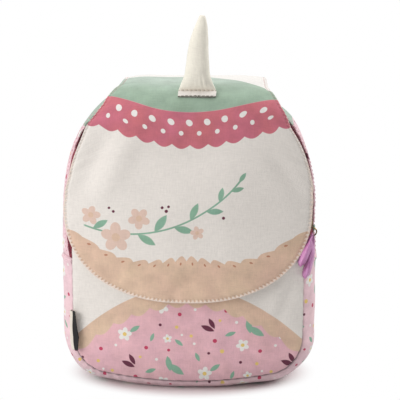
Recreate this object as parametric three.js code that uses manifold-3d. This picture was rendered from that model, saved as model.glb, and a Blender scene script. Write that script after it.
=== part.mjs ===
// A small child's canvas backpack: a rounded zip bag with a wide flap over its crown and front,
// a stuffed horn sewn on the flap, and two shoulder straps behind.
// Millimetres, +Z up, front towards -Y. The origin is the middle of the flat base that it stands on.
import * as THREE from 'three';
import { mergeVertices } from 'three/addons/utils/BufferGeometryUtils.js';
import Module from 'manifold-3d';

const wasm = await Module();
wasm.setup();

// Driving dimensions

const GAP = 0.3; // left open between pieces that are sewn together
const CLOTH = 2.2; // canvas with its interlining

const BAG = {
  halfWidth: 125,
  height: 296,
  baseRadius: 46, // lower corners of the outline
  baseTilt: 8, // degrees that the base rises by where those corners start
  topCornerWidth: 86, // upper corners of the outline are quarter ellipses
  topCornerHeight: 116,
  sag: 3, // how far the base would hang below the floor, pressed flat instead
  frontSeamY: -50, // at the sides; the front seam bows forward between them
  baseBow: 16,
  topBow: 6,
  backSeamY: 48,
  frontSeamInset: 11.5, // how far each seam lies inside the widest outline
  backSeamInset: 5,
  frontRound: 26, // depth over which the sides round out behind each seam
  backRound: 24,
  frontMiddleY: -70, // furthest forward, at middleZ
  frontPower: 2.2,
  backBulge: 3,
  backPower: 4,
  middleZ: 136, // height where the front bulges most
};

const ZIP = { endZ: 130, width: 12, thickness: 1.4, recess: 0.6 };

const FLAP = {
  thickness: 2.4,
  backY: 46.5,
  backHalfWidth: 70,
  crownFrontY: -15, // where the crown starts to turn down
  crownFrontHalfWidth: 72,
  crownShift: 4.8, // the crown was sewn on a little to the right
  droop: 0.4,
  cornerHeight: 63,
  cornerPower: 3.8, // squareness of the turn over the front top edge
  halfWidth: 119.5,
  wideZ: 182, // height of the widest row
  upperDraw: 35, // above it each edge draws in by this much, as a power of the height
  upperRise: 99,
  upperPower: 1.84,
  lowerReach: 89, // below it the edge is a superellipse
  lowerPower: 2.35,
  crownLift: 2.2, // middle of the flap's thickness above the cloth of the crown
  frontLift: 4.4, // and in front of the front panel, which it hangs clear of
};

// Soft dents in the flap and the front panel: middle, direction, reach and depth of each
const FLAP_FOLDS = [
  { x: 2, z: 112, turn: 0, along: 30, across: 7, depth: 2.6 },
  { x: 4, z: 98, turn: 0, along: 36, across: 8, depth: -1.6 },
  { x: -92, z: 232, turn: 55, along: 26, across: 9, depth: 1.8 },
  { x: -78, z: 214, turn: 55, along: 30, across: 10, depth: -1.2 },
  { x: 96, z: 202, turn: -62, along: 28, across: 8, depth: 1.6 },
];
const FRONT_FOLDS = [
  { x: -84, z: 62, turn: 38, along: 26, across: 8, depth: 2 },
  { x: 88, z: 70, turn: -48, along: 30, across: 9, depth: 2.4 },
  { x: 10, z: 30, turn: 4, along: 44, across: 7, depth: 1.6 },
];

// Sections of the horn above its flat hem: height over the stitch line, lean, width and depth
const HORN = { x: 8.6, hemY: -60, stitchY: -53.5, hemWidth: 35, hemDepth: 2.4 };
const HORN_SECTIONS = [
  { up: 6, lean: 0, width: 30, depth: 9 },
  { up: 12, lean: 0, width: 26.4, depth: 15 },
  { up: 18, lean: 0, width: 24.4, depth: 18.6 },
  { up: 24, lean: 0.1, width: 22.8, depth: 20 },
  { up: 35, lean: 0.5, width: 20.2, depth: 19 },
  { up: 47, lean: 1.4, width: 17.8, depth: 17.2 },
  { up: 58, lean: 2.8, width: 13.4, depth: 13 },
  { up: 65, lean: 3.7, width: 9.8, depth: 9.6 },
  { up: 69.5, lean: 4.2, width: 6.4, depth: 6.4 },
  { up: 71.5, lean: 4.4, width: 3, depth: 3 },
];

const SLIDER = {
  z: 165,
  length: 10,
  width: 6,
  tailWidth: 4.2,
  thickness: 2.6,
  ringRadius: 5,
  wire: 1.4,
  ringClear: 1.2,
};

// The ribbon through the slider's ring, from the end of one tail over the fold to the other end
const RIBBON_THICKNESS = 0.8;
const RIBBON_ROWS = [
  { x: 109.5, y: -57.5, z: 125, width: 10 },
  { x: 114, y: -57.5, z: 134, width: 9.5 },
  { x: 117.5, y: -56.5, z: 142, width: 8 },
  { x: 119.9, y: -54.5, z: 150, width: 4.6 },
  { x: 120.2, y: -53, z: 155.2, width: 3.6 },
  { x: 120.2, y: -50.3, z: 157, width: 2.6, fold: true },
  { x: 120.2, y: -48, z: 155.2, width: 3.6 },
  { x: 120.4, y: -50.4, z: 149, width: 4.6 },
  { x: 119, y: -52.6, z: 136, width: 8 },
  { x: 116, y: -53.4, z: 122, width: 9.5 },
  { x: 113, y: -53.4, z: 110, width: 10 },
];

const LABEL = { fromZ: 36, toZ: 79, reach: 9, thickness: 1.2, turn: 14, fromSeam: 0.5 };

// Shoulder strap on the right; a sewn row lies flat on the back panel
const STRAP_ROWS = [
  { x: 36, z: 284, sewn: true, width: 40, thickness: 3.2 },
  { x: 36.5, z: 268, sewn: true, width: 42, thickness: 4 },
  { x: 38, z: 254, y: 59, width: 44, thickness: 7 },
  { x: 42, z: 236, y: 69, width: 46, thickness: 8 },
  { x: 48, z: 208, y: 81, width: 46, thickness: 8 },
  { x: 55, z: 178, y: 88, width: 45, thickness: 8 },
  { x: 62, z: 150, y: 88, width: 42, thickness: 8 },
  { x: 66, z: 132, y: 84, width: 36, thickness: 6 },
  { x: 68, z: 124, y: 81, width: 28, thickness: 3.5 },
];
const WEBBING = {
  width: 20,
  thickness: 1.5,
  top: { x: 66, y: 78.8, z: 133 }, // sewn under the end of the strap
  upper: { x: 68.4, y: 76.8, z: 121 },
  lower: { x: 98, y: 55.5, z: 46 },
  end: { x: 103, z: 26 }, // sewn flat on the back panel
};
const ADJUSTER = { fromUpper: 26, width: 30, bar: 4, slot: 6, slotWidth: 22, thickness: 2.4, clear: 0.65 };

// How finely each surface is divided, and how square the sections of the bands are
const STEPS = {
  frontRings: 6,
  backRings: 4,
  lowerGusset: 8,
  upperGusset: 6,
  zip: 2,
  flapAcross: 20,
  flapCrown: 4,
  flapTurn: 8,
  flapFront: 2,
  flapLower: 8,
};
const SECTIONS = {
  horn: { sides: 16, power: 2.4 },
  strap: { sides: 12, power: 4 },
  ribbon: { sides: 8, power: 8 },
  webbing: { sides: 8, power: 8 },
};

const COLOURS = {
  pinkCanvas: 0xe3b4bd,
  creamCanvas: 0xe6dfd9,
  hornCanvas: 0xeae4d6,
  crimsonTape: 0x7a1f33,
  brass: 0xb08a4a,
  purpleSatin: 0xb3789e,
  label: 0x2e2921,
  pinkWebbing: 0xd79aa8,
  adjuster: 0xe9d7d6,
};

// Helpers for meshes

const lerp = THREE.MathUtils.lerp;
const vector = (x, y, z) => new THREE.Vector3(x, y, z);
const rising = (count) => Array.from({ length: count + 1 }, (_, index) => index / count);

// Merges equal vertices, drops empty triangles and turns the faces outwards
function closedGeometry(points, triangles) {
  const rough = new THREE.BufferGeometry();
  rough.setAttribute('position', new THREE.Float32BufferAttribute(points.flatMap((p) => p.toArray()), 3));
  rough.setIndex(triangles);
  const merged = mergeVertices(rough, 1e-3);
  const index = merged.getIndex().array;
  const places = merged.getAttribute('position');
  const corner = [vector(0, 0, 0), vector(0, 0, 0), vector(0, 0, 0)];
  const kept = [];
  let volume = 0;
  for (let start = 0; start < index.length; start += 3) {
    const [a, b, c] = index.slice(start, start + 3);
    if (a === b || b === c || c === a) continue;
    kept.push(a, b, c);
    [a, b, c].forEach((vertex, at) => corner[at].fromBufferAttribute(places, vertex));
    volume += corner[0].dot(corner[1].clone().cross(corner[2]));
  }
  merged.setIndex(volume > 0 ? kept : kept.reverse());
  merged.computeVertexNormals();
  return merged;
}

// A wall between two grids of points, joined along their open edges; a ring's rows close on themselves
function wallGeometry(outer, inner, ring = false) {
  const rows = outer.length;
  const columns = outer[0].length;
  const at = (layer, row, column) => (layer * rows + (row % rows)) * columns + column;
  const triangles = [];
  const quad = (a, b, c, d) => triangles.push(a, b, c, a, c, d);
  for (let row = 0; row < (ring ? rows : rows - 1); row += 1) {
    const next = row + 1;
    for (let column = 0; column < columns - 1; column += 1) {
      const beside = column + 1;
      quad(at(0, row, column), at(0, next, column), at(0, next, beside), at(0, row, beside));
      quad(at(1, row, column), at(1, row, beside), at(1, next, beside), at(1, next, column));
    }
    const last = columns - 1;
    quad(at(0, row, 0), at(1, row, 0), at(1, next, 0), at(0, next, 0));
    quad(at(0, row, last), at(0, next, last), at(1, next, last), at(1, row, last));
  }
  for (let column = 0; column < columns - 1 && !ring; column += 1) {
    const beside = column + 1;
    const last = rows - 1;
    quad(at(0, 0, column), at(0, 0, beside), at(1, 0, beside), at(1, 0, column));
    quad(at(0, last, column), at(1, last, column), at(1, last, beside), at(0, last, beside));
  }
  return closedGeometry([...outer.flat(), ...inner.flat()], triangles);
}

// Unit normals of a grid of points, from the directions to the neighbours of each
function gridNormals(grid) {
  const near = (list, index) => list[THREE.MathUtils.clamp(index, 0, list.length - 1)];
  return grid.map((row, i) =>
    row.map((_, j) => {
      const down = near(grid, i + 1)[j].clone().sub(near(grid, i - 1)[j]);
      const across = near(row, j + 1).clone().sub(near(row, j - 1));
      return across.cross(down).normalize();
    }),
  );
}

// A sheet of even thickness about a grid of points on its middle surface
function sheetGeometry(grid, thickness) {
  const normals = gridNormals(grid);
  const side = (offset) =>
    grid.map((row, i) => row.map((p, j) => p.clone().addScaledVector(normals[i][j], offset)));
  return wallGeometry(side(thickness / 2), side(-thickness / 2));
}

// A closed tube through rings of points, with a fan over each end
function tubeGeometry(rings) {
  const sides = rings[0].length;
  const points = rings.flat();
  const triangles = [];
  for (let ring = 0; ring < rings.length - 1; ring += 1) {
    for (let side = 0; side < sides; side += 1) {
      const a = ring * sides + side;
      const b = ring * sides + ((side + 1) % sides);
      triangles.push(a, b, b + sides, a, b + sides, a + sides);
    }
  }
  [0, rings.length - 1].forEach((end) => {
    const middle = points.length;
    points.push(rings[end].reduce((sum, p) => sum.add(p), vector(0, 0, 0)).divideScalar(sides));
    for (let side = 0; side < sides; side += 1) {
      const a = end * sides + side;
      const b = end * sides + ((side + 1) % sides);
      triangles.push(...(end === 0 ? [b, a, middle] : [a, b, middle]));
    }
  });
  return closedGeometry(points, triangles);
}

// Directions of a path's rows: along it, across it (nearest to the width's axis) and out of the band's face
function pathFrames(path, widthAxis) {
  return path.map((point, index) => {
    const ahead = path[Math.min(index + 1, path.length - 1)];
    const behind = path[Math.max(index - 1, 0)];
    const along = ahead.clone().sub(behind).normalize();
    const across = widthAxis.clone().addScaledVector(along, -along.dot(widthAxis)).normalize();
    return { point, across, out: across.clone().cross(along) };
  });
}

// A band swept along a path: each row's section is a superellipse of its own width and thickness
function bandGeometry(path, sizes, { sides, power }, widthAxis = vector(1, 0, 0)) {
  const rounded = (value) => Math.sign(value) * Math.abs(value) ** (2 / power);
  const rings = pathFrames(path, widthAxis).map(({ point, across, out }, row) =>
    rising(sides).slice(0, sides).map((turn) => {
      const angle = 2 * Math.PI * (turn + 0.5 / sides);
      return point.clone()
        .addScaledVector(across, (rounded(Math.cos(angle)) * sizes[row].width) / 2)
        .addScaledVector(out, (rounded(Math.sin(angle)) * sizes[row].thickness) / 2);
    }),
  );
  return tubeGeometry(rings);
}

// Joins closed geometries that overlap into one solid
function joinedGeometry(geometries) {
  const solids = geometries.map((geometry) => {
    const bare = geometry.clone();
    bare.deleteAttribute('normal');
    bare.deleteAttribute('uv');
    const merged = mergeVertices(bare, 1e-3);
    return new wasm.Manifold(
      new wasm.Mesh({
        numProp: 3,
        vertProperties: merged.getAttribute('position').array,
        triVerts: Uint32Array.from(merged.getIndex().array),
      }),
    );
  });
  const mesh = solids.reduce((sum, solid) => sum.add(solid)).getMesh();
  const joined = new THREE.BufferGeometry();
  joined.setAttribute('position', new THREE.BufferAttribute(mesh.vertProperties, 3));
  joined.setIndex(new THREE.BufferAttribute(mesh.triVerts, 1));
  joined.computeVertexNormals();
  return joined;
}

function foldDepth(folds, x, z) {
  return folds.reduce((sum, fold) => {
    const turn = THREE.MathUtils.degToRad(fold.turn);
    const along = (x - fold.x) * Math.cos(turn) + (z - fold.z) * Math.sin(turn);
    const across = (z - fold.z) * Math.cos(turn) - (x - fold.x) * Math.sin(turn);
    return sum + fold.depth * Math.exp(-((along / fold.along) ** 2) - (across / fold.across) ** 2);
  }, 0);
}

// The bag's outline and walls

// Stretches of the right half of the outline, from the middle of the base to the middle of the top
const STRETCHES = [
  { name: 'base', steps: 3 },
  { name: 'baseCorner', steps: 5 },
  { name: 'lowerSide', steps: 3 },
  { name: 'upperSide', steps: 3 },
  { name: 'topCorner', steps: 9 },
  { name: 'top', steps: 2 },
];
const BASE_TILT = THREE.MathUtils.degToRad(BAG.baseTilt);
const BASE_HALF = BAG.halfWidth - BAG.baseRadius * (1 - Math.sin(BASE_TILT));
const BASE_RISE = (Math.tan(BASE_TILT) * BASE_HALF) / 2;
const BASE_CENTRE = {
  x: BAG.halfWidth - BAG.baseRadius,
  z: BASE_RISE - BAG.sag + BAG.baseRadius * Math.cos(BASE_TILT),
};
const TOP_CENTRE = { x: BAG.halfWidth - BAG.topCornerWidth, z: BAG.height - BAG.topCornerHeight };
const SEAM_TRIM = GAP / Math.SQRT2; // each side of a mitred seam draws back this far

function outlinePoint({ name, part, side }, inset) {
  const turn = (part * Math.PI) / 2;
  const places = {
    base: () => [
      part * (BASE_HALF - inset * Math.sin(BASE_TILT)),
      inset - BAG.sag + BASE_RISE * part * part,
    ],
    baseCorner: () => [
      BASE_CENTRE.x + (BAG.baseRadius - inset) * Math.sin(lerp(BASE_TILT, Math.PI / 2, part)),
      BASE_CENTRE.z - (BAG.baseRadius - inset) * Math.cos(lerp(BASE_TILT, Math.PI / 2, part)),
    ],
    lowerSide: () => [BAG.halfWidth - inset, lerp(BASE_CENTRE.z, ZIP.endZ - GAP / 2, part)],
    upperSide: () => [BAG.halfWidth - inset, lerp(ZIP.endZ + GAP / 2, TOP_CENTRE.z, part)],
    topCorner: () => [
      TOP_CENTRE.x + (BAG.topCornerWidth - inset) * Math.cos(turn),
      TOP_CENTRE.z + (BAG.topCornerHeight - inset) * Math.sin(turn),
    ],
    top: () => [lerp(TOP_CENTRE.x, 0, part), BAG.height - inset],
  };
  const [x, z] = places[name]();
  return { x: side * x, z };
}

// Stations up one side of the outline through the named stretches
function sideStations(names, side) {
  return STRETCHES.filter(({ name }) => names.includes(name)).flatMap(({ name, steps }, index) =>
    rising(steps).slice(index === 0 ? 0 : 1).map((part) => ({ name, part, side })),
  );
}

const LOWER = ['base', 'baseCorner', 'lowerSide'];
const UPPER = ['upperSide', 'topCorner', 'top'];
const lowerStations = [...sideStations(LOWER, -1).reverse(), ...sideStations(LOWER, 1).slice(1)];
const upperStations = [...sideStations(UPPER, 1), ...sideStations(UPPER, -1).reverse().slice(1)];
const roundStations = [...lowerStations, ...upperStations];

// Depth of the front seam at a point of its outline
function frontSeamAt({ x, z }) {
  const wide = x / (BAG.halfWidth - BAG.frontSeamInset);
  return BAG.frontSeamY - lerp(BAG.baseBow, BAG.topBow, z / BAG.height) * (1 - wide * wide);
}
const frontSeamY = (station) => frontSeamAt(outlinePoint(station, BAG.frontSeamInset));

function frontPoint(station, radius, depth) {
  const edge = outlinePoint(station, BAG.frontSeamInset + SEAM_TRIM + depth);
  const x = edge.x * radius;
  const z = lerp(BAG.middleZ, edge.z, radius);
  const y = lerp(BAG.frontMiddleY, frontSeamY(station), radius ** BAG.frontPower);
  return vector(x, y + depth + foldDepth(FRONT_FOLDS, x, z) * (1 - radius ** 8), z);
}

function backPoint(station, radius, depth) {
  const edge = outlinePoint(station, BAG.backSeamInset + SEAM_TRIM + depth);
  const bulge = BAG.backBulge * (1 - radius ** BAG.backPower);
  return vector(edge.x * radius, BAG.backSeamY - depth + bulge, lerp(BAG.middleZ, edge.z, radius));
}

// How far the gusset lies inside the widest outline, from its distances to the front and back seams
function gussetInset(fromFront, fromBack) {
  const draw = (distance, round) => {
    const share = THREE.MathUtils.clamp(distance / round, 0, 1);
    return 1 - Math.sin((Math.PI / 2) * share);
  };
  const front = BAG.frontSeamInset * draw(fromFront, BAG.frontRound);
  return front + BAG.backSeamInset * draw(fromBack, BAG.backRound);
}

// A point of the gusset: the wall's inner side meets both seams in a mitre, and the base is flat
function gussetPoint(station, fromFront, depth) {
  const reach = BAG.backSeamY - frontSeamY(station);
  const { x, z } = outlinePoint(station, gussetInset(fromFront, reach - fromFront) + depth);
  const mitre = depth * (1 - (2 * fromFront) / reach);
  return vector(x, frontSeamY(station) + fromFront + mitre, Math.max(z, depth));
}

function panelGeometry(point, rings) {
  const radii = rising(rings).map((step) => 1 - step);
  const layer = (depth) =>
    roundStations.map((station) => radii.map((radius) => point(station, radius, depth)));
  return wallGeometry(layer(0), layer(CLOTH), true);
}

// A band of the gusset between two distances from the front seam, or as far as the back seam
function gussetGeometry(stations, from, to, steps, nearDepth, farDepth) {
  const shares = rising(steps).map((step) => (1 - Math.cos(Math.PI * step)) / 2);
  const layer = (depth) =>
    stations.map((station) => {
      const end = to ?? BAG.backSeamY - SEAM_TRIM - frontSeamY(station);
      return shares.map((share) => gussetPoint(station, lerp(from, end, share), depth));
    });
  return wallGeometry(layer(nearDepth), layer(farDepth));
}

// How far out from the middle of a panel a point lies, 1 on a seam of that inset
function panelRadius(x, z, inset) {
  const inside = (right, up) => {
    if (right > BAG.halfWidth - inset || up > BAG.height - inset) return false;
    if (up < inset - BAG.sag + BASE_RISE * (right / BASE_HALF) ** 2) return false;
    if (right > TOP_CENTRE.x && up > TOP_CENTRE.z) {
      const wide = (right - TOP_CENTRE.x) / (BAG.topCornerWidth - inset);
      return Math.hypot(wide, (up - TOP_CENTRE.z) / (BAG.topCornerHeight - inset)) <= 1;
    }
    if (right > BASE_CENTRE.x && up < BASE_CENTRE.z) {
      return Math.hypot(right - BASE_CENTRE.x, up - BASE_CENTRE.z) <= BAG.baseRadius - inset;
    }
    return true;
  };
  let low = 0;
  let high = 2;
  for (let round = 0; round < 40; round += 1) {
    const radius = (low + high) / 2;
    if (inside(Math.abs(x) / radius, BAG.middleZ + (z - BAG.middleZ) / radius)) high = radius;
    else low = radius;
  }
  return high;
}

// Depth of the back panel's outer face, and of a band of some width and thickness sewn flat on it
const backSurfaceY = (x, z) =>
  BAG.backSeamY + BAG.backBulge * (1 - panelRadius(x, z, BAG.backSeamInset) ** BAG.backPower);
const sewnY = (x, z, { width, thickness }) => backSurfaceY(x - width / 2, z) + GAP + thickness / 2;

// The flap

// The stiff crown droops by a share of the drop of the bag's rounded top
const flapDroop = (x) => {
  const past = Math.max(0, Math.abs(x) - TOP_CENTRE.x) / BAG.topCornerWidth;
  return FLAP.droop * BAG.topCornerHeight * (1 - Math.sqrt(1 - past * past));
};

// The flap lies on the bulging front and hangs straight down below the middle
function flapFrontY(x, z) {
  const up = Math.max(z, BAG.middleZ) - BAG.middleZ;
  const radius = Math.max(panelRadius(x, BAG.middleZ + up, BAG.frontSeamInset), 0.01);
  const seam = frontSeamAt({ x: x / radius, z: BAG.middleZ + up / radius });
  return lerp(BAG.frontMiddleY, seam, radius ** BAG.frontPower) - FLAP.frontLift;
}

// A point on the way from the back seam: the crown is at 0 to 1, the turn at 1 to 2, the front at 2 to 3
function flapPoint(x, way) {
  const crownZ = BAG.height - flapDroop(x) + FLAP.crownLift;
  const turnZ = crownZ - FLAP.cornerHeight;
  if (way <= 1) {
    const y = lerp(FLAP.backY, FLAP.crownFrontY, way);
    return vector(x, y, crownZ - gussetInset(y - BAG.frontSeamY, BAG.backSeamY - y));
  }
  if (way <= 2) {
    const angle = ((way - 1) * Math.PI) / 2;
    const reach = FLAP.crownFrontY - flapFrontY(x, turnZ);
    return vector(
      x,
      FLAP.crownFrontY - reach * Math.sin(angle) ** (2 / FLAP.cornerPower),
      turnZ + FLAP.cornerHeight * Math.abs(Math.cos(angle)) ** (2 / FLAP.cornerPower),
    );
  }
  const z = lerp(turnZ, FLAP.wideZ, way - 2);
  return vector(x, flapFrontY(x, z) + foldDepth(FLAP_FOLDS, x, z), z);
}

// Half the flap's width on the way down: straight edges on the crown and round the first half of the turn
function flapHalfWidth(way) {
  const turnedHalf = FLAP.halfWidth - FLAP.upperDraw;
  if (way <= 1) return lerp(FLAP.backHalfWidth, FLAP.crownFrontHalfWidth, way);
  if (way <= 1.5) return lerp(FLAP.crownFrontHalfWidth, turnedHalf, 2 * (way - 1));
  let half = turnedHalf;
  for (let round = 0; round < 60; round += 1) {
    const up = Math.max(0, flapPoint(half, way).z - FLAP.wideZ) / FLAP.upperRise;
    half = FLAP.halfWidth - FLAP.upperDraw * up ** FLAP.upperPower;
  }
  return half;
}

// Middle of the flap's width on the way down, from the crown's place back to the middle of the bag
const flapMiddle = (way) => lerp(FLAP.crownShift, 0, THREE.MathUtils.clamp((way - 1.5) / 1.5, 0, 1));

// A point of the rounded lower half: a square grid drawn into a half disc, then into the lower edge's curve
function flapLowerPoint(u, v) {
  const wide = u * Math.sqrt(1 - (v * v) / 2);
  const down = v * Math.sqrt(1 - (u * u) / 2);
  const power = FLAP.lowerPower;
  const reach = Math.hypot(wide, down) / (Math.abs(wide) ** power + down ** power) ** (1 / power) || 1;
  const x = FLAP.halfWidth * wide * reach;
  const z = FLAP.wideZ - FLAP.lowerReach * down * reach;
  return vector(x, flapFrontY(x, z) + foldDepth(FLAP_FOLDS, x, z), z);
}

function flapGeometry() {
  const across = rising(STEPS.flapAcross).map((step) => 2 * step - 1);
  const ways = [STEPS.flapCrown, STEPS.flapTurn, STEPS.flapFront].flatMap((steps, stretch) =>
    rising(steps).slice(stretch === 0 ? 0 : 1).map((step) => stretch + step),
  );
  const upper = ways.map((way) => {
    const half = flapHalfWidth(way);
    return across.map((u) => flapPoint(flapMiddle(way) + u * half, way));
  });
  const lower = rising(STEPS.flapLower).slice(1).map((v) => across.map((u) => flapLowerPoint(u, v)));
  return sheetGeometry([...upper, ...lower], FLAP.thickness);
}

// The horn: a flat hem on the flap, then stuffed sections that stand up from the stitch line
function hornGeometry() {
  const onFlap = (y) => {
    const reach = FLAP.crownFrontY - flapFrontY(HORN.x, BAG.height + FLAP.crownLift - FLAP.cornerHeight);
    const angle = Math.asin(((FLAP.crownFrontY - y) / reach) ** (FLAP.cornerPower / 2));
    const way = 1 + angle / (Math.PI / 2);
    const down = flapPoint(HORN.x, way + 0.01).sub(flapPoint(HORN.x, way - 0.01));
    const out = vector(1, 0, 0).cross(down).normalize().negate();
    return flapPoint(HORN.x, way).addScaledVector(out, FLAP.thickness / 2 + HORN.hemDepth / 2 + 2 * GAP);
  };
  const hem = [HORN.hemY, (HORN.hemY + HORN.stitchY) / 2, HORN.stitchY].map(onFlap);
  const stitch = hem[2];
  const path = [
    ...hem,
    ...HORN_SECTIONS.map(({ up, lean }) => vector(HORN.x + lean, stitch.y + 1, stitch.z + up)),
  ];
  const sizes = [
    ...hem.map(() => ({ width: HORN.hemWidth, thickness: HORN.hemDepth })),
    ...HORN_SECTIONS.map(({ width, depth }) => ({ width, thickness: depth })),
  ];
  return bandGeometry(path, sizes, SECTIONS.horn);
}

// The zip's slider is one metal solid: a rounded body on the zip, a bar, and a ring for the ribbon
function sliderGeometry() {
  const station = { name: 'upperSide', part: (SLIDER.z - ZIP.endZ) / (TOP_CENTRE.z - ZIP.endZ), side: 1 };
  const insetAt = (fromFront) => gussetInset(fromFront, Infinity);
  const middle = ZIP.width / 2;
  const slope = (insetAt(middle - 1) - insetAt(middle + 1)) / 2;
  const out = vector(1, -slope, 0).normalize();
  const up = vector(0, 0, 1);
  const place = new THREE.Matrix4().makeBasis(up.clone().cross(out), up, out);
  place.setPosition(gussetPoint(station, middle, ZIP.recess).addScaledVector(out, GAP));

  const half = { length: SLIDER.length / 2, width: SLIDER.width / 2, tail: SLIDER.tailWidth / 2 };
  const shape = new THREE.Shape();
  shape.moveTo(-half.width, half.length - half.width);
  shape.absarc(0, half.length - half.width, half.width, Math.PI, 0, true);
  shape.lineTo(half.tail, -half.length);
  shape.lineTo(-half.tail, -half.length);
  shape.closePath();
  const options = { depth: SLIDER.thickness, bevelEnabled: false, curveSegments: 6 };
  const body = new THREE.ExtrudeGeometry(shape, options).applyMatrix4(place);

  const fold = RIBBON_ROWS.find((row) => row.fold);
  const ringLow = fold.z - RIBBON_THICKNESS / 2 - SLIDER.ringClear - SLIDER.wire;
  const ringMiddle = vector(fold.x, fold.y, ringLow + SLIDER.ringRadius);
  const ring = new THREE.TorusGeometry(SLIDER.ringRadius - SLIDER.wire / 2, SLIDER.wire / 2, 6, 14)
    .rotateX(Math.PI / 2)
    .translate(...ringMiddle.toArray());

  const from = vector(0, 0, SLIDER.thickness / 2).applyMatrix4(place);
  const to = ringMiddle.clone().add(vector(0, 0, SLIDER.ringRadius - SLIDER.wire / 2));
  const bar = new THREE.CylinderGeometry(SLIDER.wire / 2, SLIDER.wire / 2, from.distanceTo(to), 6);
  const turn = new THREE.Quaternion().setFromUnitVectors(vector(0, 1, 0), to.clone().sub(from).normalize());
  bar.applyQuaternion(turn).translate(...from.add(to).divideScalar(2).toArray());
  return joinedGeometry([body, bar, ring]);
}

// Strap pieces, drawn for the right side and mirrored for the left

const mirrored = (points, side) => points.map((p) => vector(p.x * side, p.y, p.z));

function strapPath() {
  return STRAP_ROWS.map((row) => vector(row.x, row.sewn ? sewnY(row.x, row.z, row) : row.y, row.z));
}

// The straight run of webbing, the adjuster's middle on it and its directions
function webbingRun(side) {
  const [upper, lower] = mirrored([WEBBING.upper, WEBBING.lower], side);
  const along = lower.clone().sub(upper).normalize();
  const across = vector(-along.z, 0, along.x).normalize();
  const out = across.clone().cross(along);
  const middle = upper.clone().addScaledVector(along, ADJUSTER.fromUpper);
  return { upper, lower, along, across, out, middle };
}

// The webbing passes behind each outer bar of its adjuster and over the middle one
function webbingPath(side) {
  const { upper, lower, along, out, middle } = webbingRun(side);
  const clear = ADJUSTER.thickness / 2 + WEBBING.thickness / 2 + ADJUSTER.clear;
  const edge = ADJUSTER.bar / 2 + ADJUSTER.slot;
  const weave = [
    { at: -edge - ADJUSTER.bar, lift: -clear },
    { at: -edge, lift: -clear },
    { at: -ADJUSTER.bar / 2, lift: clear },
    { at: ADJUSTER.bar / 2, lift: clear },
    { at: edge, lift: -clear },
    { at: edge + ADJUSTER.bar, lift: -clear },
  ].map(({ at, lift }) => middle.clone().addScaledVector(along, at).addScaledVector(out, lift));
  const flatOn = (x, z) => vector(side * x, sewnY(x, z, WEBBING), z);
  const end = flatOn(WEBBING.end.x, WEBBING.end.z);
  const landing = flatOn((WEBBING.lower.x + WEBBING.end.x) / 2, (WEBBING.lower.z + WEBBING.end.z) / 2);
  return [...mirrored([WEBBING.top], side), upper, ...weave, lower, landing, end];
}

function adjusterShape() {
  const length = 3 * ADJUSTER.bar + 2 * ADJUSTER.slot;
  const box = (path, wide, low, high) => {
    path.moveTo(-wide / 2, low);
    path.lineTo(wide / 2, low);
    path.lineTo(wide / 2, high);
    path.lineTo(-wide / 2, high);
    path.closePath();
    return path;
  };
  const shape = box(new THREE.Shape(), ADJUSTER.width, -length / 2, length / 2);
  [-1, 1].forEach((way) => {
    const near = (way * ADJUSTER.bar) / 2;
    const far = way * (ADJUSTER.bar / 2 + ADJUSTER.slot);
    shape.holes.push(box(new THREE.Path(), ADJUSTER.slotWidth, Math.min(near, far), Math.max(near, far)));
  });
  return shape;
}

// The assembly

const backpack = new THREE.Group();

function add(name, geometry, color, roughness = 0.9, metalness = 0) {
  const mesh = new THREE.Mesh(geometry, new THREE.MeshStandardMaterial({ color, roughness, metalness }));
  mesh.name = name;
  backpack.add(mesh);
  return mesh;
}

add('front_panel', panelGeometry(frontPoint, STEPS.frontRings), COLOURS.pinkCanvas);
add('back_panel', panelGeometry(backPoint, STEPS.backRings), COLOURS.pinkCanvas);

add(
  'lower_gusset',
  gussetGeometry(lowerStations, SEAM_TRIM, null, STEPS.lowerGusset, 0, CLOTH),
  COLOURS.pinkCanvas,
);
add(
  'upper_gusset',
  gussetGeometry(upperStations, ZIP.width + GAP / 2, null, STEPS.upperGusset, 0, CLOTH),
  COLOURS.pinkCanvas,
);
const zipDepths = [ZIP.recess, ZIP.recess + ZIP.thickness];
add(
  'zip_tape',
  gussetGeometry(upperStations, SEAM_TRIM + ZIP.recess, ZIP.width - GAP / 2, STEPS.zip, ...zipDepths),
  COLOURS.crimsonTape,
);
add('flap', flapGeometry(), COLOURS.creamCanvas);
add('horn', hornGeometry(), COLOURS.hornCanvas);

add('zip_slider', sliderGeometry(), COLOURS.brass, 0.35, 0.9);
add(
  'ribbon_pull',
  bandGeometry(
    RIBBON_ROWS.map(({ x, y, z }) => vector(x, y, z)),
    RIBBON_ROWS.map(({ width }) => ({ width, thickness: RIBBON_THICKNESS })),
    SECTIONS.ribbon,
  ),
  COLOURS.purpleSatin,
  0.4,
);

const labelShape = new THREE.Shape();
labelShape.moveTo(0, -LABEL.thickness / 2);
labelShape.lineTo(LABEL.reach, -LABEL.thickness / 2);
labelShape.absarc(LABEL.reach, 0, LABEL.thickness / 2, -Math.PI / 2, Math.PI / 2, false);
labelShape.lineTo(0, LABEL.thickness / 2);
labelShape.closePath();
const labelDepth = { depth: LABEL.toZ - LABEL.fromZ, bevelEnabled: false, curveSegments: 5 };
const label = add('seam_label', new THREE.ExtrudeGeometry(labelShape, labelDepth), COLOURS.label);
const labelTurn = THREE.MathUtils.degToRad(270 - LABEL.turn);
const labelOut = vector(Math.cos(labelTurn), Math.sin(labelTurn), 0);
label.rotation.z = labelTurn;
label.position.set(BAG.frontSeamInset - BAG.halfWidth, BAG.frontSeamY, LABEL.fromZ);
label.position.addScaledVector(labelOut, LABEL.fromSeam);

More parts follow.
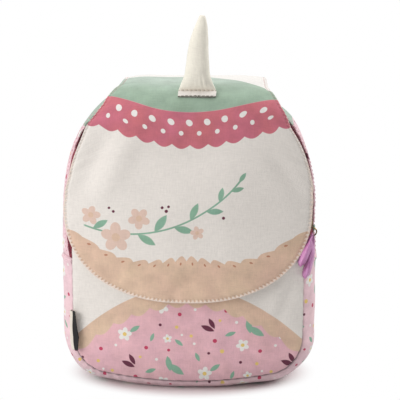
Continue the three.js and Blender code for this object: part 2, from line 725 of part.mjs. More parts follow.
[{ name: 'left', side: -1 }, { name: 'right', side: 1 }].forEach(({ name, side }) => {
  const strap = bandGeometry(mirrored(strapPath(), side), STRAP_ROWS, SECTIONS.strap);
  add(`strap_${name}`, strap, COLOURS.pinkCanvas);
  const path = webbingPath(side);
  const { across, out, middle } = webbingRun(side);
  const webbing = bandGeometry(path, path.map(() => WEBBING), SECTIONS.webbing, across);
  add(`webbing_${name}`, webbing, COLOURS.pinkWebbing);
  const adjuster = add(
    `adjuster_${name}`,
    new THREE.ExtrudeGeometry(adjusterShape(), { depth: ADJUSTER.thickness, bevelEnabled: false }),
    COLOURS.adjuster,
    0.5,
  );
  const turn = new THREE.Matrix4().makeBasis(across, out.clone().cross(across), out);
  adjuster.quaternion.setFromRotationMatrix(turn);
  adjuster.position.copy(middle).addScaledVector(out, -ADJUSTER.thickness / 2);
});

export default backpack;
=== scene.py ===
"""Looks of a small child's canvas backpack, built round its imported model.

Every piece is a surface worked out with numpy in millimetres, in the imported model's own frame: +Z up, the
front towards -Y, standing on the floor at z = 0.
"""
import math
from types import SimpleNamespace as Sizes

import bmesh
import bpy
import numpy as np
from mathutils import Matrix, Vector


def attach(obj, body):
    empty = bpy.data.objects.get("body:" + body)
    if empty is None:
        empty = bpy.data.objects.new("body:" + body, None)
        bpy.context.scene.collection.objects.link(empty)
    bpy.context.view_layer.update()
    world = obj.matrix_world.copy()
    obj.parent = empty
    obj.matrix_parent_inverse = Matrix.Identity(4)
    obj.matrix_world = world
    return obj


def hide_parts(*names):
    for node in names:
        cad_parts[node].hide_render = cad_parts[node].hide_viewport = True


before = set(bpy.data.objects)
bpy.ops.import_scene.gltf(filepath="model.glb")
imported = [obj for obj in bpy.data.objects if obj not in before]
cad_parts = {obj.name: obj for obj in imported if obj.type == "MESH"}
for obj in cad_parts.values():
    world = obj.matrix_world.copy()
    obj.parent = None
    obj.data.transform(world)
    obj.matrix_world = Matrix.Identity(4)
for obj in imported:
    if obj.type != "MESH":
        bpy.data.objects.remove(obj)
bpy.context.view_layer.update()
MM = 0.001

# Sizes in millimetres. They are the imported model's, but soft cloth departs from it a little

GAP = 0.3
CLOTH = 2.2
BAG = Sizes(
    half_width=125, height=296, base_radius=46, base_tilt=math.radians(8),
    top_corner_width=86, top_corner_height=116, sag=3, gussets_meet_z=130,
    front_seam_y=-50, base_bow=16, top_bow=6, back_seam_y=48,
    front_seam_inset=11.5, back_seam_inset=5, front_round=26, back_round=24,
    front_middle_y=-70, front_power=2.2, back_bulge=3, back_power=4, middle_z=136,
    front_fold_power=8, panel_floor_z=0.4, drawn_share=0.5, step_inset=6,
)
DRAWN_IN = (  # the filled bag is drawn in: the outline's parameter, how far on the left, on the right
    (3, 0, 0), (3.3, 2, 1.2), (3.7, 3, 2.6), (4.1, 2.9, 2.2), (4.35, 1, 0.9), (4.48, 0.4, 0.9),
    (4.62, 1.4, 3.6), (4.76, 2.2, 2.2), (5, 0.2, 0.2), (6, 0, 0),
)
ZIP = Sizes(
    recess=0.6, thickness=1.4, tuck=5.5, middle=7, tooth_pitch=1.9, tooth_reach=2.2, tooth_radius=0.75,
    tooth_slant=0.5, first_tooth=3, tuck_lips=(12.5, 18), tuck_run=0.8, tuck_share=(0.42, 0.8),
)
ZIP_LIPS = (  # how much of the zip the upper gusset leaves open: height, on the left, on the right
    (129, 4, 10), (134, 5.5, 18), (142, 7.5, 24), (155, 9, 26), (175, 9.5, 24), (195, 9.5, 22),
    (215, 9.5, 22), (232, 13, 25), (250, 17, 29), (266, 17.5, 31), (280, 15, 29), (291, 13, 20),
    (297, 12, 12),
)
FLAP = Sizes(
    thickness=2.4, back_y=46.5, back_half=70, crown_front_y=-15, crown_front_half=72, crown_shift=4.8,
    turn_shift=2.6, turn_way=1.74, turn_width=0.09, side_shift=1.1, side_way=2.33, side_width=0.22,
    droop=0.4, back_right_droop=0.1, corner_height=63, corner_power=3.8, half_width=120.2, wide_z=182,
    upper_draw=35, upper_rise=99, upper_power=1.95, lower_reach=89, lower_power=2.35,
    crown_lift=2.2, front_lift=4.4, back_round=3.6, back_drop=3,
)
RIM = Sizes(  # the flap's rounded edge, pinched and pricked along its stitches
    round=1.2, pinch=0.5, pinch_width=1.3, holes=0.45, hole_width=1.2, beads=0.3, bead_width=2.6,
    gathers=0.32, gather_length=17, gather_reach=12, gather_from=1.5,
)

# Soft dents, a row for each: x and z of its middle, degrees of its direction, reach along and across, depth
FLAP_FOLDS = (
    (4, 112, 8, 24, 8, 2.4), (-22, 99, -12, 18, 8, -1.3), (26, 100, 14, 20, 8, -1.2),
    (-74, 118, -38, 22, 8, 1.2), (-86, 232, 62, 36, 11, 3.2), (-69, 222, 62, 40, 12, -2.4),
    (100, 206, -50, 22, 7, 1.5), (92, 222, -46, 20, 7, 1.1), (0, 158, 0, 120, 26, 1.1),
)
FRONT_FOLDS = (
    (-84, 62, 38, 26, 8, 2), (88, 70, -48, 30, 9, 1.6), (98, 96, 70, 26, 5, 1.8),
    (86, 92, 64, 26, 6, -1.1), (10, 30, 4, 44, 7, 1.6),
)

HORN = Sizes(
    x=9.4, hem_y=-58.6, stitch_y=-52.9, hem_width=35.5, hem_depth=2.8, power=2.3, rows=145, stitch_row=24,
    sides=96, set_back=1, stuffed_from=(-1, 3), pinch=0.45, pinch_width=1.4, pleats=0.0616, pleat_half=13,
    pleat_length=4.2, pleat_rise=4, pleat_reach=9, lumps=0.018, lump_radius=6, lump_length=18,
    ruffle=0.35, ruffle_length=9, ruffle_reach=5, last_stitch=3.5,
)
HORN_SECTIONS = (  # height over the stitch line, lean, width, depth
    (4.5, 0, 32, 11), (10, 0, 27.8, 16), (16, 0.1, 24.2, 19), (23, 0.3, 22.2, 20), (35, 0.8, 20, 19),
    (47, 1.9, 17.2, 17), (58, 3.6, 13.2, 13.6), (65, 4.4, 9.4, 9.8), (69.2, 4.8, 6.6, 7),
    (70.9, 5, 4.6, 4.6),
)

RIBBON = Sizes(
    thickness=0.5, width=12, most_swing=9, rows=161, columns=33, waves=(3.0, 1.0), wave_widths=(3, 8),
    turned=(0.42, 0.58),
)
RIBBON_ROWS = (  # x, y, z of the middle, width it is gathered to
    (109, -56.4, 125.8, 2.6), (109.3, -57.2, 126.8, 5.2), (110, -57.8, 129, 7), (112.4, -58, 134.5, 7.4),
    (115.8, -57, 143, 7.2), (118.3, -54.7, 150, 5.6), (120.2, -53, 155.2, 3.4), (120.2, -50.3, 157, 2.6),
    (120.2, -48, 155.2, 3.4), (120.4, -50.4, 149, 4.4), (119.4, -53, 137, 6.6), (117, -53.8, 125, 7.2),
    (114.8, -53.8, 116.5, 7), (114, -53.4, 113.8, 5.2), (113.7, -53, 112.8, 2.6),
)

LABEL = Sizes(
    from_z=38.5, widest_z=52, to_z=78, opened=(0.7, 1.15, 0.5), half_thickness=0.55, edge=7.4, wave=0.3,
    wave_length=26, wave_reach=8, rows=30, columns=25, fold_points=7,
)
LABEL_PATH = (  # right and out from the seam
    (0, -0.3), (-1.6, -2.2), (-1.4, -4.2), (0.6, -5.4), (3.2, -6.2), (5.6, -7.2),
)

STRAP_ROWS = (  # x, z, y or None where it is sewn flat on the back, width, thickness
    (36, 284, None, 40, 3.2), (36.5, 268, None, 42, 4), (38, 254, 59, 44, 7), (42, 236, 69, 46, 8),
    (48, 208, 81, 46, 8), (55, 178, 88, 45, 8), (62, 150, 88, 42, 8), (66, 132, 84, 36, 6),
    (68, 124, 81, 28, 3.5),
)
STRAP = Sizes(
    hem=0.3, hem_from=2.2, hem_to=9, round=0.8, ends=0.55, lumps=0.05, gathers=0.25,
    lump_length=30, lumps_from=(4, 10), end_reach=(-1, 10), gather_length=9, gather_reach=4,
    stitch_in=3.4, stitch_share=0.34, stitch_lift=0.05, first_stitch=4, last_stitch=6, rows=150,
    columns=31,
)
WEBBING = Sizes(
    width=20, thickness=1.5, top=(66, 78.8, 133), upper=(68.4, 76.8, 121), lower=(98, 55.5, 46),
    end=(103, 26), powers=(0.3, 0.5), rows=260, sides=28, softened=8,
)
ADJUSTER = Sizes(from_upper=26, bar=4, slot=6, thickness=2.4, clear=0.65)

# How cloth behaves at seams: both edges roll into the crease, and small puckers fade away from it
ROLL = Sizes(base_depth=2.8, side_depth=0.7, side_from=(1.6, 2.3), width=1.9)
PUCKER = Sizes(depth=0.32, reach=9, length=11, ends=15)
SWELL = Sizes(  # low swells: height, wave length, distance from an edge where they are full
    panel=(0.5, 62, 14), gusset=(0.45, 55, 12), flap=(0.7, 85, 40),
)
HEM = Sizes(
    thick=1.5, thin=0.2, place=2.8, width=1.7, turned_in=1.4, turn_width=2.2, fold=0.9, fold_width=0.8,
)
STITCH = Sizes(length=2.9, pitch=4, radius=0.38, from_edge=3.2, margin=2)
THREAD = Sizes(rings=5, sides=6, rise=1.1, sunk=0.6)  # the lens of a stitch, raised by shares of its radius
HARD = Sizes(weld=1e-5, segments=2, angle=math.radians(35))  # edges of hard pieces, the weld in metres
NEAR_EDGE = np.array([0, 0.5, 1, 1.6, 2.3, 3.2, 4.2, 5.4, 7, 9, 11.5])  # rows of points close to a seam
COLUMNS = 34  # points from there to the middle of a panel or the flap
HALF_SEAM = Sizes(panel=250, lower=150, upper=190)  # points along half a panel's or a gusset's seam
FINE = Sizes(table=400, edge=3001, outline=6001)  # points on the curves that lengths are read from
HALVINGS, SETTLING = 34, 30  # rounds of halving, and of two values that settle on each other
SAME_POINT, SLIVER = 2e-6, 1e-7  # metres under which points are merged and faces are dropped

BASE_HALF = BAG.half_width - BAG.base_radius * (1 - math.sin(BAG.base_tilt))
BASE_RISE = math.tan(BAG.base_tilt) * BASE_HALF / 2
BASE_CENTRE = (
    BAG.half_width - BAG.base_radius,
    BASE_RISE - BAG.sag + BAG.base_radius * math.cos(BAG.base_tilt),
)
TOP_CENTRE = (BAG.half_width - BAG.top_corner_width, BAG.height - BAG.top_corner_height)
SEAM_TRIM = GAP / math.sqrt(2)

# Helpers for arrays


def lerp(start, end, share):
    """The value a share of the way from start to end."""
    return start + (end - start) * share


def unit(vectors):
    """Vectors divided by their lengths."""
    return vectors / np.maximum(np.linalg.norm(vectors, axis=-1, keepdims=True), 1e-9)


def stacked(*columns):
    """Grids of numbers, stretched to one shape and set side by side as coordinates."""
    return np.stack(np.broadcast_arrays(*columns), -1)


def joined(*parts):
    """Arrays one after another, along their first direction."""
    return np.concatenate(parts)


def eased(low, high, value):
    """0 below low, 1 above high, and a smooth cubic step between them."""
    share = np.clip((value - low) / (high - low), 0, 1)
    return share * share * (3 - 2 * share)


def bell(value, width, power=2):
    """1 at zero, falling off as the exponential of minus a power of the value in widths."""
    return np.exp(-np.abs(value / width) ** power)


def waves(run, seed, length, count=6):
    """Uneven waves along a line, about -1 to 1: a sum of sines near one wave length, with random phases."""
    draw = np.random.default_rng(seed)
    stretch, phase = draw.uniform(0.7, 1.5, count), draw.uniform(0, math.tau, count)
    return np.sin(math.tau * run[..., None] / (length * stretch) + phase).sum(-1) / math.sqrt(count)


def ripple(first, second, seed, length, count=9):
    """Soft uneven swells on a sheet: a sum of sines of random direction and phase, near one wave length."""
    draw = np.random.default_rng(seed)
    turn, phase = draw.uniform(0, math.pi, count), draw.uniform(0, math.tau, count)
    stretch = draw.uniform(0.7, 1.6, count)
    run = first[..., None] * np.cos(turn) + second[..., None] * np.sin(turn)
    return np.sin(math.tau * run / (length * stretch) + phase).sum(-1) / math.sqrt(count)


def swells(kind, first, second, from_edge, seed):
    """Ripples of one kind of sheet, fading out towards its edges."""
    height, length, reach = kind
    return height * ripple(first, second, seed, length) * eased(0, reach, from_edge)


def folded(folds, x, z):
    """Sum of dents, each an elliptical bell of its own direction, reach and depth."""
    total = 0
    for middle_x, middle_z, degrees, reach, width, depth in folds:
        turn = math.radians(degrees)
        right, up = x - middle_x, z - middle_z
        along = right * math.cos(turn) + up * math.sin(turn)
        across = up * math.cos(turn) - right * math.sin(turn)
        total = total + depth * bell(along, reach) * bell(across, width)
    return total


def smooth_rows(rows, count):
    """Rows of numbers at even steps of a cubic curve through the given ones (Catmull-Rom)."""
    rows = np.asarray(rows, float)
    padded = np.vstack([2 * rows[0] - rows[1], rows, 2 * rows[-1] - rows[-2]])
    place = np.linspace(0, len(rows) - 1, count)
    step = np.minimum(place.astype(int), len(rows) - 2)
    t = (place - step)[:, None]
    before, start, end, after = (padded[step + k] for k in range(4))
    return 0.5 * (
        2 * start + (end - before) * t + (2 * before - 5 * start + 4 * end - after) * t**2
        + (3 * start - before - 3 * end + after) * t**3
    )


def run_length(points):
    """Distance covered along a row of points, from its first one."""
    return np.insert(np.cumsum(np.linalg.norm(np.diff(points, axis=0), axis=-1)), 0, 0)


def even_steps(values, points, count=None):
    """Values at even steps along their points, about a millimetre apart unless a count is given."""
    length = run_length(points)
    return np.interp(np.linspace(0, length[-1], count or round(length[-1])), length, values)


def least(fits, shape, top):
    """The least values up to a top one that fit, found by halving."""
    low, high = np.zeros(shape), np.full(shape, float(top))
    for _ in range(HALVINGS):
        middle = (low + high) / 2
        enough = fits(middle)
        low, high = np.where(enough, low, middle), np.where(enough, middle, high)
    return high


def grid_normals(points):
    """Unit normals of a grid, the cross product of its two directions."""
    return unit(np.cross(np.gradient(points, axis=1), np.gradient(points, axis=0)))


def outward_normals(points):
    """Unit normals of a grid, pointing away from the middle of the bag."""
    normals = grid_normals(points)
    return normals * np.sign((normals * (points - (0, 0, BAG.middle_z))).sum())


def area_of(points):
    """Area of a grid of points in square metres: half the cross product of each quad's diagonals."""
    diagonals = points[1:, 1:] - points[:-1, :-1], points[1:, :-1] - points[:-1, 1:]
    return float(np.linalg.norm(np.cross(*diagonals), axis=-1).sum() / 2) * MM**2


def at_run(grid, along, run, column):
    """Points of a grid where its rows reach a run along it, at one column of points."""
    row = np.interp(run, along, np.arange(len(along)))
    low = np.minimum(row.astype(int), len(along) - 2)
    return lerp(grid[low, column], grid[low + 1, column], (row - low)[:, None])


def spread(length, count, both=False):
    """Distances from an edge, close together near it, and near the far end too if both ends are seams."""
    length = np.asarray(length, float)[..., None]
    share, near = np.linspace(0, 1, count)[1:], NEAR_EDGE + 0 * length
    if not both:
        return np.concatenate([near, lerp(NEAR_EDGE[-1], length, share)], -1)
    middle = lerp(NEAR_EDGE[-1], length - NEAR_EDGE[-1], share[:-1])
    return np.concatenate([near, middle, length - NEAR_EDGE[::-1]], -1)


# Helpers for meshes


def placed(name, data):
    """A new object, linked to the scene."""
    made = bpy.data.objects.new(name, data)
    bpy.context.scene.collection.objects.link(made)
    return made


def new_mesh(name, points, faces):
    """A mesh of points in millimetres."""
    mesh = bpy.data.meshes.new(name)
    mesh.from_pydata((points.reshape(-1, 3) * MM).tolist(), [], faces.tolist())
    return mesh


def grid_faces(rows, columns, ring=False):
    """Quads of a grid of rows by columns; in a ring the last column joins the first."""
    index = np.arange(rows * columns).reshape(rows, columns)
    index = np.concatenate([index, index[:, :1]], 1) if ring else index
    corners = index[:-1, :-1], index[:-1, 1:], index[1:, 1:], index[1:, :-1]
    return np.stack(corners, -1).reshape(-1, 4)


def piece(name, points, faces, finishes, maps=None, first_faces=None):
    """A mesh object with its doubled points merged and its faces turned out. The maps give each point a place
    on the flat cloth, and faces after the first ones have the second finish."""
    mesh = new_mesh(name, points, faces)
    corner = np.empty(len(mesh.loops), np.int32)
    mesh.loops.foreach_get("vertex_index", corner)
    for map_name, values in (maps or {}).items():
        layer = mesh.uv_layers.new(name=map_name)
        layer.data.foreach_set("uv", (values.reshape(-1, 2)[corner] * MM).astype(np.float32).ravel())
    for finish in finishes:
        mesh.materials.append(finish.material)
    if len(finishes) == 2:
        second = np.arange(len(faces)) >= first_faces
        mesh.polygons.foreach_set("material_index", second.astype(np.int32))
    work = bmesh.new()
    work.from_mesh(mesh)
    bmesh.ops.remove_doubles(work, verts=work.verts, dist=SAME_POINT)
    bmesh.ops.dissolve_degenerate(work, edges=work.edges, dist=SLIVER)
    bmesh.ops.recalc_face_normals(work, faces=work.faces)
    work.to_mesh(mesh)
    work.free()
    mesh.polygons.foreach_set("use_smooth", np.ones(len(mesh.polygons), bool))
    made = placed(name, mesh)
    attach(made, "root")
    return made


def walled(name, outer, inner, finishes, maps, edges="all"):
    """A cloth wall between an outer and an inner grid, joined along all their edges, along the first column
    or, where the two meet, along none. A second finish lines the inner one."""
    rows, columns = outer.shape[:2]
    shift, faces = rows * columns, grid_faces(rows, columns)
    index = np.arange(shift).reshape(rows, columns)
    edge = {
        "all": joined(index[0, :-1], index[:-1, -1], index[-1, :0:-1], index[::-1, 0]),
        "first": index[:, 0],
        "none": index[:1, 0],
    }[edges]
    rim = stacked(edge[:-1], edge[1:], edge[1:] + shift, edge[:-1] + shift)
    points = joined(outer.reshape(-1, 3), inner.reshape(-1, 3))
    doubled = {key: np.tile(value.reshape(-1, 2), (2, 1)) for key, value in maps.items()}
    quads = joined(faces, faces[:, ::-1] + shift, rim)
    return piece(name, points, quads, finishes, doubled, len(faces))


def tube(name, rings, finish, maps):
    """A closed tube through rings of points, drawn together to a point over each end."""
    ends = [np.broadcast_to(rings[k].mean(0), rings[k].shape)[None] for k in (0, -1)]
    points = joined(ends[0], rings, ends[1])
    longer = {key: joined(value[:1], value, value[-1:]) for key, value in maps.items()}
    return piece(name, points, grid_faces(*points.shape[:2], ring=True), [finish], longer)


def threads(name, start, end, normal, radius, finish):
    """Short threads on a surface: each is a lens, round across and sunk into the cloth at both ends."""
    rings, sides = THREAD.rings, THREAD.sides
    share = np.linspace(0, 1, rings)
    swell = np.sin(math.pi * share)[None, :, None, None]
    angle = (math.tau * np.arange(sides) / sides)[None, None, :, None]
    out, side = normal[:, None, None], unit(np.cross(end - start, normal))[:, None, None]
    middle = lerp(start[:, None, None], end[:, None, None], share[None, :, None, None])
    ring = (np.cos(angle) * out + np.sin(angle) * side) * np.sqrt(np.abs(swell))
    points = middle + radius * (ring + (THREAD.rise * swell - THREAD.sunk) * out)
    shift = (np.arange(len(start)) * rings * sides)[:, None, None]
    faces = grid_faces(rings, sides, ring=True) + shift
    return piece(name, points, faces.reshape(-1, 4), [finish])


def band_frames(path, across=(1, 0, 0)):
    """Directions of a path's rows: across it (nearest to the given axis) and out of the band's face."""
    along = unit(np.gradient(path, axis=0))
    across = np.asarray(across, float)
    across = unit(across - along * (along * across).sum(-1, keepdims=True))
    return across, np.cross(across, along)


def ring_of(sides, wide_power, deep_power):
    """Angles round a superellipse, and its two coordinates: signed powers of the cosine and of the sine."""
    angle = (math.tau * (np.arange(sides) + 0.5) / sides)[None]
    ways = (np.cos(angle), wide_power), (np.sin(angle), deep_power)
    return angle, *(np.sign(way) * np.abs(way) ** power for way, power in ways)


def carried(path, across, right, out, front):
    """Sections carried along a path, by how far each point lies right and in front of it."""
    return path[:, None] + across[:, None] * right[..., None] + out[:, None] * front[..., None]


# Finishes


def colour(red, green, blue):
    """Linear colour of screen values from 0 to 255."""
    values = np.array([red, green, blue]) / 255
    linear = np.where(values <= 0.04045, values / 12.92, ((values + 0.055) / 1.055) ** 2.4)
    return (*linear.tolist(), 1)


class Value:
    """A node's output. Signs between it and another one, or a number, make Math nodes."""

    def __init__(self, nodes, socket):
        """The output and the tree that new nodes go to."""
        self.nodes, self.socket = nodes, socket

    def __add__(self, other):
        """The sum of both."""
        return self.nodes.math("ADD", self, other)

    def __sub__(self, other):
        """This one less the other."""
        return self.nodes.math("SUBTRACT", self, other)

    def __rsub__(self, other):
        """The other less this one."""
        return self.nodes.math("SUBTRACT", other, self)

    def __mul__(self, other):
        """The product of both."""
        return self.nodes.math("MULTIPLY", self, other)

    def __abs__(self):
        """The value without its sign."""
        return self.nodes.math("ABSOLUTE", self)


class Nodes:
    """A tree of nodes, made by short calls. A number is set on its socket, and a value is linked to it."""

    def __init__(self, tree):
        """The tree that nodes are added to."""
        self.tree = tree

    def set(self, node, inputs):
        """Sets or links each named input of a node."""
        for key, value in inputs.items():
            if isinstance(value, Value):
                self.tree.links.new(value.socket, node.inputs[key])
            else:
                node.inputs[key].default_value = value

    def outputs(self, kind, inputs, **settings):
        """All outputs of a new node."""
        made = self.tree.nodes.new("ShaderNode" + kind)
        for key, value in settings.items():
            setattr(made, key, value)
        self.set(made, inputs)
        return [Value(self, socket) for socket in made.outputs]

    def node(self, kind, inputs, output=0, **settings):
        """One output of a new node."""
        return self.outputs(kind, inputs, **settings)[output]

    def math(self, operation, *values):
        """An operation on numbers."""
        return self.node("Math", dict(enumerate(values)), operation=operation)

    def vector(self, operation, *values, output=0):
        """An operation on vectors."""
        return self.node("VectorMath", dict(enumerate(values)), output, operation=operation)

    def seen(self):
        """1 for what the camera sees directly."""
        return self.node("LightPath", {})


class Finish(Nodes):
    """A material on the principled shader."""

    def __init__(self, name, **settings):
        """A new material, with inputs of its shader set by name."""
        self.material = bpy.data.materials.new(name)
        self.material.use_nodes = True
        super().__init__(self.material.node_tree)
        self.shader = self.tree.nodes["Principled BSDF"]
        self.set(self.shader, {key.replace("_", " "): value for key, value in settings.items()})

    def soft(self, value, zero, one):
        """0 at the first value and 1 at the second, eased between."""
        inputs = {"Value": value, "From Min": zero, "From Max": one}
        return self.node("MapRange", inputs, interpolation_type="SMOOTHSTEP")

    def past(self, value, edge, blur=0.4):
        """0 before an edge and 1 past it, with a slight blur."""
        return self.soft(value, edge - blur, edge + blur)

    def between(self, value, low, high):
        """A share of 0 to 1 turned into a number between two others."""
        return self.node("MapRange", {"Value": value, "To Min": low, "To Max": high})

    def paint(self, mask, under, over):
        """One colour where the mask is 0, the other where it is 1."""
        return self.node("Mix", {0: mask, 6: under, 7: over}, 2, data_type="RGBA")

    def dyed(self, shade, value, hue=0.5):
        """A shade times a value, with its hue turned away from 0.5."""
        return self.node("HueSaturation", {"Color": shade, "Hue": hue, "Value": value})

    def noise(self, point, scale, detail=2.0, stretch=(1, 1, 1)):
        """Smooth noise of 0 to 1 at a point, whose coordinates are stretched first."""
        point = self.vector("MULTIPLY", point, stretch)
        return self.node("TexNoise", {"Vector": point, "Scale": scale, "Detail": detail})

    def wave(self, kind, run, pitch):
        """The sine or cosine of a run, once over in each pitch."""
        return self.math(kind, run * (math.tau / pitch))

    def length(self, point):
        """Distance of a point from zero."""
        return self.vector("LENGTH", point, output=1)

    def solid(self):
        """Object coordinates, in metres."""
        return self.node("TexCoord", {}, 3)

    def height(self):
        """Height over the floor in millimetres."""
        return self.node("SeparateXYZ", {0: self.solid()}, 2) * (1 / MM)

    def about(self, point, x, y, size, turn=0):
        """Coordinates about a point of the cloth, turned by degrees and counted in sizes along and across."""
        inputs = {"Vector": point, "Location": (x, y, 0), "Rotation": (0, 0, math.radians(turn))}
        return self.node("Mapping", {**inputs, "Scale": (*size, 1)}, vector_type="TEXTURE")

    def cover(self, shade, height, strength, depth, **settings):
        """The finished surface: its colour, and a grain of some strength and depth in millimetres."""
        lifted = self.node("Bump", {"Height": height, "Strength": strength, "Distance": depth * MM})
        self.set(self.shader, {"Base Color": shade, "Normal": lifted, **settings})
        return self


class Cloth(Finish):
    """A woven finish on a place of the flat cloth in millimetres, and what it is printed with."""

    def __init__(self, name, **settings):
        """Dull cloth with a little down, and the place on it as two numbers."""
        super().__init__(name, **{"Roughness": 0.9, "Sheen_Weight": 0.15, **settings})
        self.place = self.flat("cloth")
        self.right, self.up = self.split(self.place)

    def flat(self, map_name):
        """A map of the flat cloth, turned from metres into millimetres."""
        return self.vector("MULTIPLY", self.node("UVMap", {}, uv_map=map_name), (1 / MM, 1 / MM, 0))

    def split(self, point):
        """The first two coordinates of a point."""
        return self.outputs("SeparateXYZ", {0: point})[:2]

    def edge(self):
        """The run along an edge of the cloth, and the distance from it."""
        return self.split(self.flat("edge"))

    def point(self, x, y):
        """A point of two coordinates."""
        return self.node("CombineXYZ", {0: x, 1: y})

    def dot(self, point, x, y, radius):
        """1 within a radius of a place, 0 outside it."""
        reach = self.vector("DISTANCE", point, (x, y, 0), output=1)
        return 1 - self.past(reach, radius, DOT_BLUR)

    def scallops(self, run, pitch, depth):
        """Height of a row of round scallops along a run."""
        return abs(self.wave("SINE", run, 2 * pitch)) * depth

    def leaf(self, point, x, y, length, turn):
        """A lens between two parabolas."""
        right, up = self.split(self.about(point, x, y, (length / 2, length * LEAF_WIDTH / 2), turn))
        return self.soft(1 - right * right - abs(up), 0, LEAF_BLUR)

    def blossom(self, point, x, y, radius, turn, shade, petals, heart):
        """Five petals round a dot: the edge's radius swings with the cosine of 2.5 times the angle."""
        local = self.about(point, x, y, (radius, radius), turn)
        right, up = self.split(local)
        swing = abs(self.math("COSINE", self.math("ARCTAN2", up, right) * 2.5))
        edge = swing * PETAL_DEPTH + (1 - PETAL_DEPTH)
        inside = self.soft(edge - self.length(local), 0, PETAL_BLUR / radius)
        shade = self.paint(inside, shade, petals)
        return self.paint(self.dot(point, x, y, radius * HEART), shade, heart)

    def wash(self, ink, hue=0.02, value=0.22):
        """An ink laid on unevenly: its hue drifts with broad noise and its value with finer noise."""
        tint = self.between(self.noise(self.place, scale=0.03, detail=3), 0.5 - hue, 0.5 + hue)
        depth = self.between(self.noise(self.place, scale=0.07, detail=5), 1 - value, 1 + value)
        return self.dyed(ink, depth, tint)

    def canvas(self, shade, slub=0.16, wear=0.05, bump=0.5, pitch=1.1, crease=None):
        """Plain woven cloth: crossing waves for its threads, slubs along both directions, uneven dye and
        grain. Near a crease, given by the distance from it, the cloth is painted darker as shade, most of all
        near the base, and painted shade also darkens it towards the floor."""
        weave = self.wave("SINE", self.right, pitch) * self.wave("SINE", self.up, pitch)
        along, across = WEAVE.slubs
        weft = self.noise(self.place, scale=1.0, stretch=(along, across, 1))
        warp = self.noise(self.place, scale=1.0, stretch=(across, along, 1))
        slubs, dye = weft + warp, self.noise(self.place, scale=WEAVE.dye, detail=4)
        uneven = self.between(dye, 1 - slub - wear, 1 - slub + wear)
        value = slubs * slub + uneven
        # painted shade: darker in a crease, deepest near the base, and darker towards the floor
        if crease:
            height = self.height()
            deepest_crease_shade = self.between(self.soft(height, *PAINTED_SHADE.crease_heights), *PAINTED_SHADE.crease_values)
            shade_towards_floor = self.between(self.soft(height, *PAINTED_SHADE.soil_heights), PAINTED_SHADE.soil_value, 1)
            value = value * self.between(self.soft(crease, *PAINTED_SHADE.crease), deepest_crease_shade, 1) * shade_towards_floor
        grain = weave * WEAVE.threads + slubs
        return self.cover(self.dyed(shade, value), grain, strength=bump, depth=WEAVE.depth)


CREAM, PEACH, BLUSH = colour(236, 229, 222), colour(222, 190, 166), colour(226, 197, 182)
ROSE, MINT, WHITE = colour(203, 113, 126), colour(168, 186, 170), colour(238, 234, 229)
PINK, PALE_PINK = colour(231, 183, 190), colour(236, 201, 207)
LEAF, YELLOW, CRIMSON = colour(138, 178, 154), colour(233, 200, 118), colour(196, 66, 98)
PLUM, TERRACOTTA = colour(104, 44, 66), colour(188, 132, 106)

# Shares of a printed leaf's length, and of a printed flower's radius
LEAF_WIDTH, PETAL_DEPTH, HEART = 0.4, 0.42, 0.27
LEAF_BLUR, DOT_BLUR, PETAL_BLUR = 0.25, 0.25, 0.5

# Weaves: noise along and across a slub, scale of the dye's noise, share of the threads, depth of the grain
WEAVE = Sizes(slubs=(0.13, 0.8), dye=0.035, threads=0.25, depth=0.4)
TAPE_WEAVE = Sizes(chevron=2.5, slant=0.8, shade=0.06)
UNEVEN_DYE = (0.85, 1.15)

# Painted shade on the printed cloth: a crease's reach, and values of its colour between two heights;
# then heights and a value of the shade painted towards the floor
PAINTED_SHADE = Sizes(
    crease=(0.4, 1.4), crease_heights=(25, 75), crease_values=(0.55, 0.9), soil_heights=(-5, 45),
    soil_value=0.62,
)

# Tile of the small-flowered print: ink and place in the tile, then length or radius, and turn
SPRIG_TILE = Sizes(
    size=78,
    leaves=(
        (LEAF, 27, 25, 13, 35), (LEAF, 10, 36, 11, 112), (LEAF, 67, 62, 20, -34), (LEAF, 60, 68, 17, -80),
        (LEAF, 42, 60, 12, 20), (LEAF, 44, 17, 10, 70), (PLUM, 20, 66, 15, -24), (PLUM, 24, 71, 13, -62),
        (LEAF, 70, 12, 11, 140),
    ),
    dots=(
        (YELLOW, 34, 42, 2.1), (YELLOW, 68, 28, 1.7), (YELLOW, 4, 58, 1.6), (CRIMSON, 27, 53, 2.1),
        (CRIMSON, 71, 41, 1.9), (CRIMSON, 38, 6, 1.9), (CRIMSON, 60, 4, 1.5), (PLUM, 21, 40, 1.4),
        (PLUM, 52, 30, 1.5), (WHITE, 7, 50, 1.4), (WHITE, 48, 72, 1.5), (WHITE, 8, 7, 1.4),
        (WHITE, 73, 20, 1.2), (YELLOW, 32, 74, 1.4),
    ),
    blossoms=((17, 19, 7.4, 10), (54, 48, 6.8, 44), (59, 16, 4.8, 25)),
)

# The branch printed on the flap, an arc that sweeps up to the right: degrees along it, how far inside it
# flowers and seeds lie, length or radius, and turn
BRANCH = Sizes(
    x=-58, z=296, radius=136, start=-108, end=-36, width=1.1,
    leaves=(
        (-101, 18, 42), (-82, 21, -38), (-75, 22, 40), (-67, 20, -36), (-60, 19, 38), (-53, 17, -36),
        (-47, 15, 36), (-41, 13, -32), (-36, 12, 4),
    ),
    flowers=((-94, -4, 15, 20), (-106, 12, 10, 5), (-84, 15, 11, 52), (-63, -14, 7, 30)),
    seeds=(
        (-71, 17, 1.6), (-69.4, 20.5, 1.3), (-72.4, 21.5, 1.4), (-52, -15, 1.5), (-96, 21, 1.4),
        (-98.4, 24, 1.3),
    ),
)
